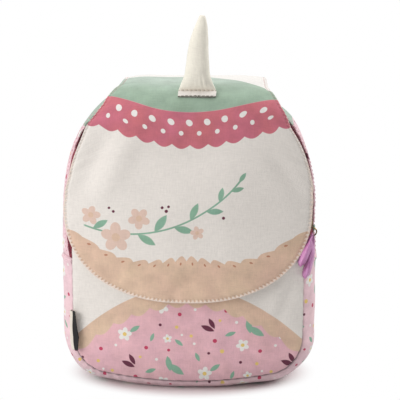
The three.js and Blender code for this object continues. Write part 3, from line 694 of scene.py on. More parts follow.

# Layout of the prints, the flap's paler rim (partly a painted highlight) and the painted shade in its pits:
# pairs are from and to, a scallop is pitch and depth, a spot is its place and radius
FLAP_PRINT = Sizes(
    bow=0.0034, crown=278, crown_fade=(280, 365), band=247, band_scallop=(17, 4), band_middle=265,
    spot_pitch=8.5, spots=((8.5, 3, 3.1), (0, -7, 2.2)), spots_inside=(6, 7), white=368, white_corner=378,
    white_slant=0.85, border_reach=150, border_width=42, border_scallop=(20, 5), bead=(10, 2.6, 1.5),
    rim_narrow=(262, 240), rim_width=(1.0, 2.6), rim_end=(336, 326), rim_wear=0.8, pits=0.22,
    rim_blur=(0.4, -0.5), pits_from=(0.7, 1.5), pits_to=(4.4, 3.2), pit_blur=(0.1, 0.9),
    bead_fade=(0.02, 0.1),
)
FRONT_PRINT = Sizes(bow=0.0046, trim=92, trim_scallop=(18, 5), yoke=108)
# horn marks: the dashes, the painted shadow at the hem's lower edge, and the painted shade at the stitch row
HORN_MARKS = Sizes(dashes=(-1.4, 0.2), under=(1, 0.4), pulled=(1.3, 0.3), pulled_share=0.5)
ROSE_THREAD_Z = (257, 263)


def sprigs(cloth, shade):
    """The small-flowered print over a ground colour: one tile, repeated with a half drop between columns."""
    size = SPRIG_TILE.size
    dropped = cloth.math("FLOOR", cloth.math("DIVIDE", cloth.right, size)) * (size / 2) + cloth.up
    tile = cloth.point(*(cloth.math("FLOORED_MODULO", way, size) for way in (cloth.right, dropped)))
    for ink, *place in SPRIG_TILE.leaves:
        shade = cloth.paint(cloth.leaf(tile, *place), shade, ink)
    for ink, *place in SPRIG_TILE.dots:
        shade = cloth.paint(cloth.dot(tile, *place), shade, ink)
    for place in SPRIG_TILE.blossoms:
        shade = cloth.blossom(tile, *place, shade, WHITE, YELLOW)
    return shade


def on_branch(degrees, inward):
    """Point a distance inside the branch's arc."""
    angle, radius = math.radians(degrees), BRANCH.radius - inward
    return BRANCH.x + radius * math.cos(angle), BRANCH.z + radius * math.sin(angle)


def branch(cloth, shade):
    """A flowering branch: an arc for its stem, leaves turned out on both sides, flowers and small seeds."""
    from_middle = cloth.vector("SUBTRACT", cloth.place, (BRANCH.x, BRANCH.z, 0))
    right, up = cloth.split(from_middle)
    angle = cloth.math("ARCTAN2", up, right) * (180 / math.pi)
    off = abs(cloth.length(from_middle) - BRANCH.radius)
    ends = cloth.soft(angle, BRANCH.start, BRANCH.start + 1) * cloth.soft(angle, BRANCH.end, BRANCH.end - 1)
    green = cloth.wash(LEAF)
    shade = cloth.paint(cloth.soft(off, BRANCH.width, BRANCH.width / 2) * ends, shade, green)
    for degrees, length, turn in BRANCH.leaves:
        place = on_branch(degrees, length / 2 * math.sin(math.radians(turn)))
        shade = cloth.paint(cloth.leaf(cloth.place, *place, length, degrees + 90 + turn), shade, green)
    for degrees, inward, radius in BRANCH.seeds:
        shade = cloth.paint(cloth.dot(cloth.place, *on_branch(degrees, inward), radius), shade, PLUM)
    for degrees, inward, *size in BRANCH.flowers:
        shade = cloth.blossom(cloth.place, *on_branch(degrees, inward), *size, shade, BLUSH, PEACH)
    return shade


def flap_finish():
    """Cream canvas with a scalloped peach border, a spotted rose band, a mint crown and a printed branch. Its
    rim is paler, partly worn and partly a painted highlight on its rolled edge, with painted shade in the
    pits between the stitches."""
    cloth, layout = Cloth("printed_flap_canvas"), FLAP_PRINT
    right, up = cloth.right, cloth.up
    run, inside = cloth.edge()

    arch = up - right * right * layout.bow
    crown = cloth.past(arch, layout.crown)
    mint = cloth.paint(cloth.soft(arch, *layout.crown_fade), colour(154, 176, 156), colour(184, 198, 186))
    shade = cloth.paint(crown, CREAM, cloth.wash(mint))
    band = cloth.past(arch + cloth.scallops(right, *layout.band_scallop), layout.band)
    shade = cloth.paint(band * (1 - crown), shade, cloth.wash(ROSE))
    across = cloth.math("PINGPONG", right + layout.spot_pitch, layout.spot_pitch)
    spots = cloth.point(across, arch - layout.band_middle)
    dots = cloth.math("MAXIMUM", *(cloth.dot(spots, *spot) for spot in layout.spots))
    shade = cloth.paint(dots * cloth.soft(inside, *layout.spots_inside), shade, WHITE)
    corner = cloth.past(right * layout.white_slant + up, layout.white_corner, 0.5)
    white = cloth.math("MAXIMUM", cloth.past(up, layout.white, 0.5), corner)
    shade = branch(cloth, cloth.paint(white, shade, WHITE))

    taper = cloth.math("MAXIMUM", 1 - run * run * (1 / layout.border_reach**2), 0)
    narrowed = cloth.math("SQRT", taper)
    width = narrowed * layout.border_width
    rise = cloth.scallops(run, *layout.border_scallop) * narrowed + width
    shade = cloth.paint(cloth.past(rise - inside, 0), shade, cloth.wash(PEACH))
    beads = cloth.point(cloth.math("PINGPONG", run, layout.bead[0]), width - inside)
    beads = cloth.dot(beads, *layout.bead) * cloth.soft(taper, *layout.bead_fade)
    shade = cloth.paint(beads, shade, TERRACOTTA)

    # the rim is painted paler: partly wear, partly a painted highlight on its rolled edge
    stitches = cloth.wave("COSINE", run, STITCH.pitch)
    ragged = (stitches + cloth.noise(cloth.place, scale=0.5, detail=3)) * layout.rim_wear + inside
    width = cloth.between(cloth.soft(up, *layout.rim_narrow), *layout.rim_width)
    rim = cloth.soft(ragged - width, *layout.rim_blur) * cloth.soft(up, *layout.rim_end)
    shade = cloth.paint(rim, shade, colour(238, 219, 206))
    # painted shade in the dimples between the stitches
    row = cloth.soft(inside, *layout.pits_from) * cloth.soft(inside, *layout.pits_to)
    pits = row * cloth.soft(stitches, *layout.pit_blur) * layout.pits
    return cloth.canvas(cloth.paint(pits, shade, colour(158, 124, 100)))


def sprigged_finish(name, ground, mint_from=None, yoke=False):
    """Small-flowered canvas, plain mint above a height, or under a cream yoke with a scalloped peach trim."""
    cloth = Cloth(name)
    shade = sprigs(cloth, cloth.wash(ground))
    if mint_from:
        shade = cloth.paint(cloth.past(cloth.height(), mint_from), shade, MINT)
    if yoke:
        arch = cloth.right * cloth.right * FRONT_PRINT.bow + cloth.up
        trim = cloth.past(arch + cloth.scallops(cloth.right, *FRONT_PRINT.trim_scallop), FRONT_PRINT.trim)
        shade = cloth.paint(trim, shade, cloth.wash(PEACH))
        shade = cloth.paint(cloth.past(arch, FRONT_PRINT.yoke), shade, CREAM)
    # painted shade darkens the cloth in its seams' creases and towards the floor
    return cloth.canvas(shade, crease=cloth.edge()[1])


def horn_finish(lowest):
    """Cream canvas, paler and pinker on the hem below the stitch row. Dark dashes at its lower edge are
    partly thread and partly a painted shadow under the hem, and painted shade darkens the dimples where the
    row pulls it in."""
    cloth = Cloth("horn_canvas")
    shade = cloth.paint(cloth.past(cloth.up, 0), colour(232, 225, 218), colour(243, 237, 223))
    dashes = cloth.soft(cloth.wave("COSINE", cloth.right, STITCH.pitch), *HORN_MARKS.dashes)
    # painted shadow along the hem's lower edge, broken into dashes like thread
    under = cloth.soft(cloth.up, *(lowest + rise for rise in HORN_MARKS.under)) * dashes
    shade = cloth.paint(under, shade, colour(84, 82, 68))
    # painted shade in the dimples where the stitch row pulls the cloth in
    pulled = cloth.soft(abs(cloth.up), *HORN_MARKS.pulled) * dashes * HORN_MARKS.pulled_share
    return cloth.canvas(cloth.paint(pulled, shade, colour(140, 126, 108)))


def satin_finish():
    """Purple satin: a smooth ribbed weave with uneven dye and a soft shine."""
    cloth = Cloth("purple_satin", Sheen_Weight=0.35, Sheen_Roughness=0.3, Specular_IOR_Level=0.7)
    dye = cloth.noise(cloth.place, scale=0.25, detail=3, stretch=(1, 0.25, 1))
    shade = cloth.paint(cloth.soft(dye, 0.3, 0.7), colour(180, 102, 158), colour(216, 154, 204))
    rib, gloss = cloth.wave("SINE", cloth.right, pitch=0.5), cloth.between(dye, 0.28, 0.42)
    return cloth.cover(shade, rib, strength=0.12, depth=0.1, Roughness=gloss)


def label_finish():
    """A black woven tape, cream along the seam."""
    cloth = Cloth("woven_label", Roughness=0.7, Sheen_Weight=0.03)
    outer = cloth.past(cloth.right, LABEL.edge, 0.3)
    shade = cloth.paint(outer, colour(230, 220, 206), colour(17, 15, 12))
    return cloth.canvas(shade, bump=0.25, pitch=0.7)


def tape_finish(name, shade, pitch):
    """Ribbed woven tape: a herringbone of slanting waves in colour and height."""
    cloth = Cloth(name, Roughness=0.8, Sheen_Weight=0.1)
    slanted = cloth.math("PINGPONG", cloth.up, TAPE_WEAVE.chevron) * TAPE_WEAVE.slant + cloth.right
    rib, dye = cloth.wave("SINE", slanted, pitch), cloth.noise(cloth.place, scale=1.2, detail=3)
    value = rib * TAPE_WEAVE.shade + cloth.between(dye, *UNEVEN_DYE)
    return cloth.cover(cloth.dyed(shade, value), rib, strength=0.5, depth=0.3)


def thread_finish(name, shade, high_shade=None):
    """Spun thread: fine noise in colour and height. It may have another shade on the crown."""
    finish = Finish(name, Roughness=0.75, Sheen_Weight=0.2)
    twist = finish.noise(finish.solid(), scale=1800, detail=1)
    if high_shade:
        shade = finish.paint(finish.soft(finish.height(), *ROSE_THREAD_Z), shade, high_shade)
    shade = finish.dyed(shade, finish.between(twist, *UNEVEN_DYE))
    return finish.cover(shade, twist, strength=0.3, depth=0.2)


def metal_finish():
    """Brass with a little tarnish."""
    finish = Finish("worn_brass", Metallic=1.0)
    tarnish = finish.noise(finish.solid(), scale=400, detail=4)
    shade = finish.paint(finish.soft(tarnish, 0.4, 0.7), colour(150, 128, 92), colour(66, 56, 46))
    finish.set(finish.shader, {"Base Color": shade, "Roughness": finish.between(tarnish, 0.22, 0.5)})
    return finish


def plastic_finish(name, light, dark):
    """Moulded plastic: a faint grain in colour, gloss and height."""
    finish = Finish(name, Specular_IOR_Level=0.45)
    grain = finish.noise(finish.solid(), scale=900, detail=3)
    shade, gloss = finish.paint(grain, light, dark), finish.between(grain, 0.35, 0.5)
    return finish.cover(shade, grain, strength=0.1, depth=0.1, Roughness=gloss)


# The bag's outline and walls


def outline(t, inset):
    """Point of the outline drawn in by an inset, as x and z. The parameter runs 0 to 6 up the right side from
    the middle of the base (base, its corner, lower side, upper side, top corner, top), and is negative on the
    left."""
    t, inset = np.broadcast_arrays(np.asarray(t, float), np.asarray(inset, float))
    run = np.minimum(np.abs(t), 6 - 1e-9)
    part = run - np.floor(run)
    low_turn, turn = lerp(BAG.base_tilt, math.pi / 2, part), part * math.pi / 2
    side, radius = BAG.half_width - inset, BAG.base_radius - inset
    parts = [run < k for k in range(1, 7)]
    x = np.select(parts, [
        part * (BASE_HALF - inset * math.sin(BAG.base_tilt)), BASE_CENTRE[0] + radius * np.sin(low_turn),
        side, side, TOP_CENTRE[0] + (BAG.top_corner_width - inset) * np.cos(turn), TOP_CENTRE[0] * (1 - part),
    ])
    z = np.select(parts, [
        inset - BAG.sag + BASE_RISE * part * part, BASE_CENTRE[1] - radius * np.cos(low_turn),
        lerp(BASE_CENTRE[1], BAG.gussets_meet_z - GAP / 2, part),
        lerp(BAG.gussets_meet_z + GAP / 2, TOP_CENTRE[1], part),
        TOP_CENTRE[1] + (BAG.top_corner_height - inset) * np.sin(turn), BAG.height - inset,
    ])
    return np.where(t < 0, -x, x), z


def of_side(rows, value, t):
    """A table's column for the left or the right, by the sign of t, on a smooth curve through its rows."""
    first, left, right = smooth_rows(rows, FINE.table).T
    return np.where(np.asarray(t) < 0, np.interp(value, first, left), np.interp(value, first, right))


def drawn_in(t):
    """How far the filled bag is drawn in from the outline there."""
    return of_side(DRAWN_IN, np.abs(t), t)


def zip_lip(t):
    """Distance from the front seam to the upper gusset's folded edge, different on the two sides."""
    return of_side(ZIP_LIPS, outline(t, 0)[1], t)


def evenly(start, end, count):
    """Values of the outline's parameter from start to end, evenly spaced along it."""
    fine = np.linspace(start, end, FINE.outline)
    return even_steps(fine, stacked(*outline(fine, BAG.step_inset)), count)


def front_seam_y(x, z):
    """The front seam bows forward between the sides, more at the base than at the top."""
    wide = x / (BAG.half_width - BAG.front_seam_inset)
    return BAG.front_seam_y - lerp(BAG.base_bow, BAG.top_bow, z / BAG.height) * (1 - wide * wide)


def seam_depth(t):
    """Depth of the front seam at a parameter of the outline."""
    return front_seam_y(*outline(t, BAG.front_seam_inset))


def into_seam(t, distance, inset, way):
    """An edge rolled into its seam's crease, halfway between into the outline and the given way along Y. It
    fades with the distance from the seam, and is deeper round the base than up the sides."""
    (x, z), (inner_x, inner_z) = outline(t, inset), outline(t, inset + 1)
    depth = lerp(ROLL.base_depth, ROLL.side_depth, eased(*ROLL.side_from, np.abs(t)))
    rolled = depth * bell(distance, ROLL.width, power=1.5)
    return unit(stacked(inner_x - x, way, inner_z - z)) * rolled[..., None]


def puckered(run, distance, seed):
    """Small gathers along a seam that fade with the distance from it."""
    return PUCKER.depth * waves(run, seed, PUCKER.length) * bell(distance, PUCKER.reach, power=1)


def front_surface(t, radius, depth):
    """The front panel: rays from its middle to the seam, depth a power of the way out, and soft dents."""
    edge_x, edge_z = outline(t, BAG.front_seam_inset + SEAM_TRIM + depth)
    x, z = edge_x * radius, lerp(BAG.middle_z, edge_z, radius)
    y = lerp(BAG.front_middle_y, seam_depth(t), radius**BAG.front_power)
    return stacked(x, y + depth + folded(FRONT_FOLDS, x, z) * (1 - radius**BAG.front_fold_power), z)


def back_surface(t, radius, depth):
    """The back panel: rays from its middle to the seam, slightly crowned."""
    edge_x, edge_z = outline(t, BAG.back_seam_inset + SEAM_TRIM + depth + drawn_in(t))
    y = BAG.back_seam_y - depth + BAG.back_bulge * (1 - radius**BAG.back_power)
    return stacked(edge_x * radius, y, lerp(BAG.middle_z, edge_z, radius))


def panel(name, surface, inset, way, finish, seed):
    """A panel of the bag on rays from its middle to its seam: its surface, small swells and puckers along its
    normal, and the edge rolled into the seam. The inner side follows at the cloth's thickness."""
    half = evenly(0, 6, HALF_SEAM.panel)
    t = joined(half, -half[-2::-1])[:, None]
    edge_x, edge_z = outline(t, inset + SEAM_TRIM)
    reach = np.hypot(edge_x, edge_z - BAG.middle_z)
    from_seam = spread(reach[:, 0], COLUMNS)
    radius = np.maximum(1 - from_seam / reach, 0)
    outer, inner = surface(t, radius, 0), surface(t, radius, CLOTH)
    run = run_length(outer[:, 0])[:, None]
    swell = swells(SWELL.panel, outer[..., 0], outer[..., 2], from_seam, seed)
    gathers = puckered(run, from_seam, seed + 1) * eased(0, PUCKER.ends, np.minimum(run, run[-1] - run))
    moved = outward_normals(outer) * (gathers + swell)[..., None]
    outer = outer + moved + into_seam(t, from_seam, inset, way)
    outer[-1] = outer[0]
    for grid, floor_z in ((outer, BAG.panel_floor_z), (inner, CLOTH)):
        grid[:, -1] = grid[:, -1].mean(0)
        grid[..., 2] = np.maximum(grid[..., 2], floor_z)
    maps = {"cloth": outer[..., [0, 2]], "edge": stacked(run, from_seam)}
    return walled(name, outer, inner, [finish], maps, "first"), outer


def gusset_inset(from_front, from_back):
    """How far the gusset lies inside the widest outline: a quarter sine in from each seam."""
    def draw(distance, reach):
        """1 at a seam, falling to 0 at its reach."""
        return 1 - np.sin(math.pi / 2 * np.clip(distance / reach, 0, 1))
    front = BAG.front_seam_inset * draw(from_front, BAG.front_round)
    return front + BAG.back_seam_inset * draw(from_back, BAG.back_round)


def gusset_surface(t, from_front, depth):
    """The gusset: the outline carried back from the front seam, mitred inside, and flat on the floor."""
    reach = BAG.back_seam_y - seam_depth(t)
    drawn = drawn_in(t) * eased(0, BAG.drawn_share, from_front / reach)
    x, z = outline(t, gusset_inset(from_front, reach - from_front) + depth + drawn)
    mitre = depth * (1 - 2 * from_front / reach)
    return stacked(x, seam_depth(t) + from_front + mitre, np.maximum(z, depth))


def gusset_band(name, t, start, count, finish, seed, front_seam):
    """A band of the gusset from a distance behind the front seam to the back seam. Its edges roll into the
    seams, or round over by the zip, and its ends are turned in hems at the sides, thick on the lower band."""
    t = t[:, None]
    reach = BAG.back_seam_y - seam_depth(t)
    from_start = spread((reach - start - SEAM_TRIM)[:, 0], count, both=True)
    from_front = start + from_start
    from_back = np.maximum(reach - SEAM_TRIM - from_front, 0)
    outer, inner = gusset_surface(t, from_front, 0), gusset_surface(t, from_front, CLOTH)
    run = run_length(outer[:, from_front.shape[1] // 2])[:, None]
    from_end = np.minimum(run, run[-1] - run)
    nearest = np.minimum(np.minimum(from_start, from_back), from_end)
    swell = swells(SWELL.gusset, run, from_front, nearest, seed)
    gathers = puckered(run, from_start, seed + 1) + puckered(run, from_back, seed + 2)
    inward = -outward_normals(outer)
    hem = bell(from_end - HEM.place, HEM.width) * (HEM.thick if front_seam else HEM.thin)
    turned = HEM.turned_in * bell(from_end, HEM.turn_width, power=1.5)
    moved = inward * (turned - hem - swell - gathers)[..., None]
    moved = moved + into_seam(t, from_back, BAG.back_seam_inset, -1)
    if front_seam:
        moved = moved + into_seam(t, from_start, BAG.front_seam_inset, 1)
    else:
        moved = moved + inward * (HEM.fold * bell(from_start, HEM.fold_width))[..., None]
    outer = outer + moved
    outer[..., 2] = np.maximum(outer[..., 2], 0)
    in_seam = np.minimum(from_back, from_start) if front_seam else from_back
    maps = {"cloth": stacked(run, from_front), "edge": stacked(run, in_seam)}
    return walled(name, outer, inner, [finish], maps), outer, run[:, 0]


def panel_radius(x, z, inset):
    """How far out from the middle of a panel a point lies, 1 on a seam of that inset."""
    x, z = np.broadcast_arrays(np.abs(x), z)

    def inside(radius):
        """Whether points lie within the seam once they are divided by the radius."""
        right, up = x / radius, BAG.middle_z + (z - BAG.middle_z) / radius
        fits = (right <= BAG.half_width - inset) & (up <= BAG.height - inset)
        fits &= up >= inset - BAG.sag + BASE_RISE * (right / BASE_HALF) ** 2
        wide = (right - TOP_CENTRE[0]) / (BAG.top_corner_width - inset)
        high = (up - TOP_CENTRE[1]) / (BAG.top_corner_height - inset)
        fits &= (wide < 0) | (high < 0) | (np.hypot(wide, high) <= 1)
        wide, high = right - BASE_CENTRE[0], up - BASE_CENTRE[1]
        return fits & ((wide < 0) | (high > 0) | (np.hypot(wide, high) <= BAG.base_radius - inset))
    return least(inside, x.shape, 2)


def sewn_y(x, z, width, thickness):
    """Depth of the middle of a band sewn flat on the back panel."""
    radius = panel_radius(np.asarray(x - width / 2, float), np.asarray(z, float), BAG.back_seam_inset)
    return float(BAG.back_seam_y + BAG.back_bulge * (1 - radius**BAG.back_power) + GAP + thickness / 2)


# The flap


def flap_front_y(x, z):
    """The flap lies on the bulging front, and hangs straight down below its middle."""
    up = np.maximum(z, BAG.middle_z) - BAG.middle_z
    radius = np.maximum(panel_radius(x, BAG.middle_z + up, BAG.front_seam_inset), 0.01)
    seam = front_seam_y(x / radius, BAG.middle_z + up / radius)
    return lerp(BAG.front_middle_y, seam, radius**BAG.front_power) - FLAP.front_lift


def flap_upper(x, way):
    """The flap on its way from the back seam: turned down over the seam at -1 to 0, the crown at 0 to 1, a
    superellipse over the front top edge at 1 to 2, and the front at 2 to 3, down to the widest row."""
    past = np.clip((np.abs(x) - TOP_CENTRE[0]) / BAG.top_corner_width, 0, 1)
    share = np.where(x > 0, lerp(FLAP.back_right_droop, FLAP.droop, np.clip(way, 0, 1)), FLAP.droop)
    droop = share * BAG.top_corner_height * (1 - np.sqrt(1 - past * past))
    crown = BAG.height - droop + FLAP.crown_lift
    turn_z = crown - FLAP.corner_height
    crown_y = lerp(FLAP.back_y, FLAP.crown_front_y, np.clip(way, 0, 1))
    crown_z = crown - gusset_inset(crown_y - BAG.front_seam_y, BAG.back_seam_y - crown_y)
    past_back = np.clip(-way, 0, 1) * (FLAP.back_round * math.pi / 2 + FLAP.back_drop)
    over = np.minimum(past_back / FLAP.back_round, math.pi / 2)
    crown_y = crown_y + FLAP.back_round * np.sin(over)
    crown_z = crown_z - FLAP.back_round * (1 - np.cos(over)) - past_back + FLAP.back_round * over
    angle, power = np.clip(way - 1, 0, 1) * math.pi / 2, 2 / FLAP.corner_power
    reach = FLAP.crown_front_y - flap_front_y(x, turn_z)
    turned_z = turn_z + FLAP.corner_height * np.abs(np.cos(angle)) ** power
    turned_y = FLAP.crown_front_y - reach * np.sin(angle) ** power
    turned_y = turned_y + folded(FLAP_FOLDS, x, turned_z) * np.sin(angle) ** 4
    front_z = lerp(turn_z, FLAP.wide_z, np.clip(way - 2, 0, 1))
    front_y = flap_front_y(x, front_z) + folded(FLAP_FOLDS, x, front_z)
    y = np.where(way <= 1, crown_y, np.where(way <= 2, turned_y, front_y))
    return stacked(x, y, np.where(way <= 1, crown_z, np.where(way <= 2, turned_z, front_z)))


def flap_half_width(way):
    """Half the flap's width: straight edges on the crown and half of the turn, then a power of the height."""
    turned = FLAP.half_width - FLAP.upper_draw
    half = np.full(way.shape, turned, float)
    for _ in range(SETTLING):
        up = np.maximum(0, flap_upper(half, way)[..., 2] - FLAP.wide_z) / FLAP.upper_rise
        half = FLAP.half_width - FLAP.upper_draw * up**FLAP.upper_power
    crown = lerp(FLAP.back_half, FLAP.crown_front_half, np.maximum(way, 0))
    turn = lerp(FLAP.crown_front_half, turned, 2 * (way - 1))
    return np.where(way <= 1, crown, np.where(way <= 1.5, turn, half))


def flap_middle(way):
    """The crown was sewn on a little to the right. The front comes back to the middle of the bag, and a
    little past it where the flap turns and above its widest row."""
    turned = FLAP.turn_shift * bell(way - FLAP.turn_way, FLAP.turn_width)
    above = FLAP.side_shift * bell(way - FLAP.side_way, FLAP.side_width)
    return lerp(FLAP.crown_shift, 0, np.clip((way - 1.5) / 1.5, 0, 1)) - turned - above


def flap_lower_edge(angle):
    """The lower edge about the middle of the widest row: a quarter of a superellipse."""
    power = 2 / FLAP.lower_power
    return FLAP.half_width * np.abs(np.cos(angle)) ** power, -FLAP.lower_reach * np.sin(angle) ** power


def flap_edge():
    """Ways down one upper edge and angles round the lower one, about a millimetre apart along the edge."""
    step = (1 - np.cos(math.pi * np.linspace(0, 1, FINE.table)))[:-1] / 2
    ways = joined(step - 1, step, 1 + step / 2, 1.5 + step / 2, 2 + step, [3])
    angles = np.linspace(0, math.pi / 2, FINE.edge)
    upper = even_steps(ways, flap_upper(flap_middle(ways) + flap_half_width(ways), ways))
    return upper, even_steps(angles, stacked(*flap_lower_edge(angles)))


def flap_side(side, upper, angles):
    """One half of the flap on rows from its edge to the spine, or to the middle of the widest row: points,
    places on the flat cloth, distances from the side edge and from the back edge, which is far from the lower
    rows."""
    way = upper[:, None]
    half = flap_half_width(way)
    from_side = spread(half[:, 0], COLUMNS)
    offset = side * (half - from_side)
    points = flap_upper(flap_middle(way) + offset, way)
    run = run_length(points[:, -1])
    places = stacked(offset, (FLAP.wide_z + run[-1] - run)[:, None])

    edge_x, edge_z = flap_lower_edge(angles[1:, None])
    reach = np.hypot(edge_x, edge_z)
    from_edge = spread(reach[:, 0], COLUMNS)
    share = 1 - from_edge / reach
    x, z = side * edge_x * share, FLAP.wide_z + edge_z * share
    lower = stacked(x, flap_front_y(x, z) + folded(FLAP_FOLDS, x, z), z)
    return (
        joined(points, lower), joined(places, stacked(x, z)), joined(from_side, from_edge),
        joined(run, np.full(len(lower), math.inf)),
    )


def flap(finish, lining):
    """The flap: two faces that meet in a rounded rim, pinched along the stitches and puckered beside them."""
    ways = flap_edge()
    halves = [flap_side(side, *ways) for side in (1, -1)]
    points, places, inside, from_back = (joined(right, left[-2::-1]) for right, left in zip(*halves))
    run = run_length(points[:, 0])
    run = run - run[len(halves[0][0]) - 1]
    along = run[:, None]
    nearest = np.minimum(inside, from_back[:, None])
    beside = inside - STITCH.from_edge
    between = np.cos(math.pi * along / STITCH.pitch) ** 2
    swell = swells(SWELL.flap, places[..., 0], places[..., 1], nearest, seed=21)
    gathers = RIM.gathers * waves(along, seed=5, length=RIM.gather_length)
    gathers = gathers * bell(inside, RIM.gather_reach, power=1) * eased(0, RIM.gather_from, nearest)
    holes = RIM.holes * between * bell(beside, RIM.hole_width)
    normals = outward_normals(points)
    pole = np.abs(places[:, -1, 1] - FLAP.wide_z) < 1e-6
    normals[:, -1] = unit(normals[:, -1] + normals[::-1, -1])
    normals[pole, -1] = unit(normals[pole, -2].mean(0))
    middle = points + normals * (swell + gathers - holes)[..., None]
    rounded = np.sqrt(1 - (1 - np.minimum(nearest / RIM.round, 1)) ** 2)
    beads = 1 - RIM.beads * between * bell(inside, RIM.bead_width, power=4)
    half = FLAP.thickness / 2 * rounded * (1 - RIM.pinch * bell(beside, RIM.pinch_width)) * beads
    face, back = (middle + normals * side * half[..., None] for side in (1, -1))
    maps = {"cloth": places, "edge": stacked(along, inside)}
    return walled("flap_canvas", face, back, [finish, lining], maps, "none"), face, run


def stitch_line(name, grid, run, column, finish):
    """Stitches along one column of a grid's points, at an even pitch, lying on its surface."""
    low, high = run[0] + STITCH.margin, run[-1] - STITCH.margin
    first = np.arange(math.ceil(low / STITCH.pitch), high // STITCH.pitch) * STITCH.pitch
    first = first + (STITCH.pitch - STITCH.length) / 2
    out = unit(at_run(outward_normals(grid), run, first + STITCH.length / 2, column))
    ends = [at_run(grid, run, first + k, column) for k in (0, STITCH.length)]
    return threads(name, *ends, out, STITCH.radius, finish)


# The horn


def horn(thread):
    """The horn: a flat hem on the flap, then stuffed superellipse sections on a path that stands up from the
    stitch line, gathered into small pleats just above it."""
    turn_z = BAG.height + FLAP.crown_lift - FLAP.corner_height
    reach = FLAP.crown_front_y - float(flap_front_y(np.array(HORN.x), np.array(turn_z)))
    y = np.array([HORN.hem_y, (HORN.hem_y + HORN.stitch_y) / 2, HORN.stitch_y])
    way = 1 + np.arcsin(((FLAP.crown_front_y - y) / reach) ** (FLAP.corner_power / 2)) / (math.pi / 2)
    x = np.full(3, HORN.x)
    down = flap_upper(x, way + 0.01) - flap_upper(x, way - 0.01)
    lift = FLAP.thickness / 2 + HORN.hem_depth / 2 + 2 * GAP
    hem = flap_upper(x, way) + unit(np.cross(down, (1, 0, 0))) * lift
    rows = [(*point, HORN.hem_width, HORN.hem_depth) for point in hem]
    sewn_at, sewn_z = hem[2, 1:]
    rows += [
        (HORN.x + lean, sewn_at + HORN.set_back, sewn_z + up, wide, deep)
        for up, lean, wide, deep in HORN_SECTIONS
    ]
    rows = smooth_rows(rows, HORN.rows)
    path, width, depth = rows[:, :3], rows[:, 3:4], rows[:, 4:5]
    across, out = band_frames(path)
    out = out * np.sign(-out[:, 1:2])
    sewn = HORN.stitch_row
    rise = (run_length(path) - run_length(path)[sewn])[:, None]

    angle, right, front = ring_of(HORN.sides, 2 / HORN.power, 2 / HORN.power)
    pleats = waves(right * HORN.pleat_half, seed=3, length=HORN.pleat_length, count=5)
    pleats = HORN.pleats * pleats * bell(rise - HORN.pleat_rise, HORN.pleat_reach)
    lumps = HORN.lumps * ripple(angle * HORN.lump_radius, rise, seed=8, length=HORN.lump_length)
    ruffle = waves(right * HORN.hem_width / 2, seed=12, length=HORN.ruffle_length, count=4)
    ruffle = HORN.ruffle * ruffle * eased(0, -HORN.ruffle_reach, rise)
    stuffed = (pleats + lumps) * eased(*HORN.stuffed_from, rise)
    depth = depth * (1 - HORN.pinch * bell(rise, HORN.pinch_width)) * (1 + stuffed)
    rings = carried(path, across, right * width / 2 * (1 + lumps), out, front * depth / 2 + ruffle)
    around = np.cumsum(np.linalg.norm(rings - np.roll(rings, 1, 1), axis=-1), 1)
    finish = horn_finish(float(rise[0, 0]))
    made = tube("horn_stuffed", rings, finish, {"cloth": stacked(around, rise)})

    seam = path[sewn] + out[sewn] * (depth[sewn, HORN.sides // 4] / 2)
    half = HORN.hem_width / 2
    starts = np.arange(STITCH.margin - half, half - HORN.last_stitch, STITCH.pitch)[:, None]
    ends = [seam + across[sewn] * (starts + k) for k in (0, STITCH.length)]
    normal = np.repeat(out[sewn][None], len(starts), 0)
    return made, threads("horn_stitching", *ends, normal, STITCH.radius, thread)


# The zip


def zip_tape(t, finish):
    """The zip's tape: a band of the gusset's surface, a little sunk, and tucked under the gusset's folded
    edge where that stands open."""
    t, share = t[:, None], np.linspace(0, 1, 2 * ZIP.middle + 1)[None]
    tuck = ZIP.tuck * eased(*ZIP.tuck_lips, zip_lip(t))
    across = lerp(SEAM_TRIM + ZIP.recess, zip_lip(t) - GAP / 2 + ZIP.tuck_run * tuck, share)
    depth = ZIP.recess + tuck * eased(*ZIP.tuck_share, share)
    outer, inner = gusset_surface(t, across, depth), gusset_surface(t, across, depth + ZIP.thickness)
    run = run_length(outer[:, ZIP.middle])
    maps = {"cloth": stacked(run[:, None], across)}
    return walled("zip_woven_tape", outer, inner, [finish], maps), outer, run


def zip_teeth(tape, run, finish):
    """The closed coil: short rounded teeth across the middle of the tape, at an even pitch."""
    place = np.arange(ZIP.first_tooth, run[-1] - ZIP.first_tooth, ZIP.tooth_pitch)
    out = unit(at_run(outward_normals(tape), run, place, ZIP.middle))
    before, centre, after = (at_run(tape, run, place, ZIP.middle + k) for k in (-2, 0, 2))
    slant = np.where(np.arange(len(place)) % 2, ZIP.tooth_slant, -ZIP.tooth_slant)[:, None]
    ends = [centre + unit(after - before) * (slant + k) for k in (-ZIP.tooth_reach, ZIP.tooth_reach)]
    return threads("zip_coil", *ends, out, ZIP.tooth_radius, finish)


# Small pieces


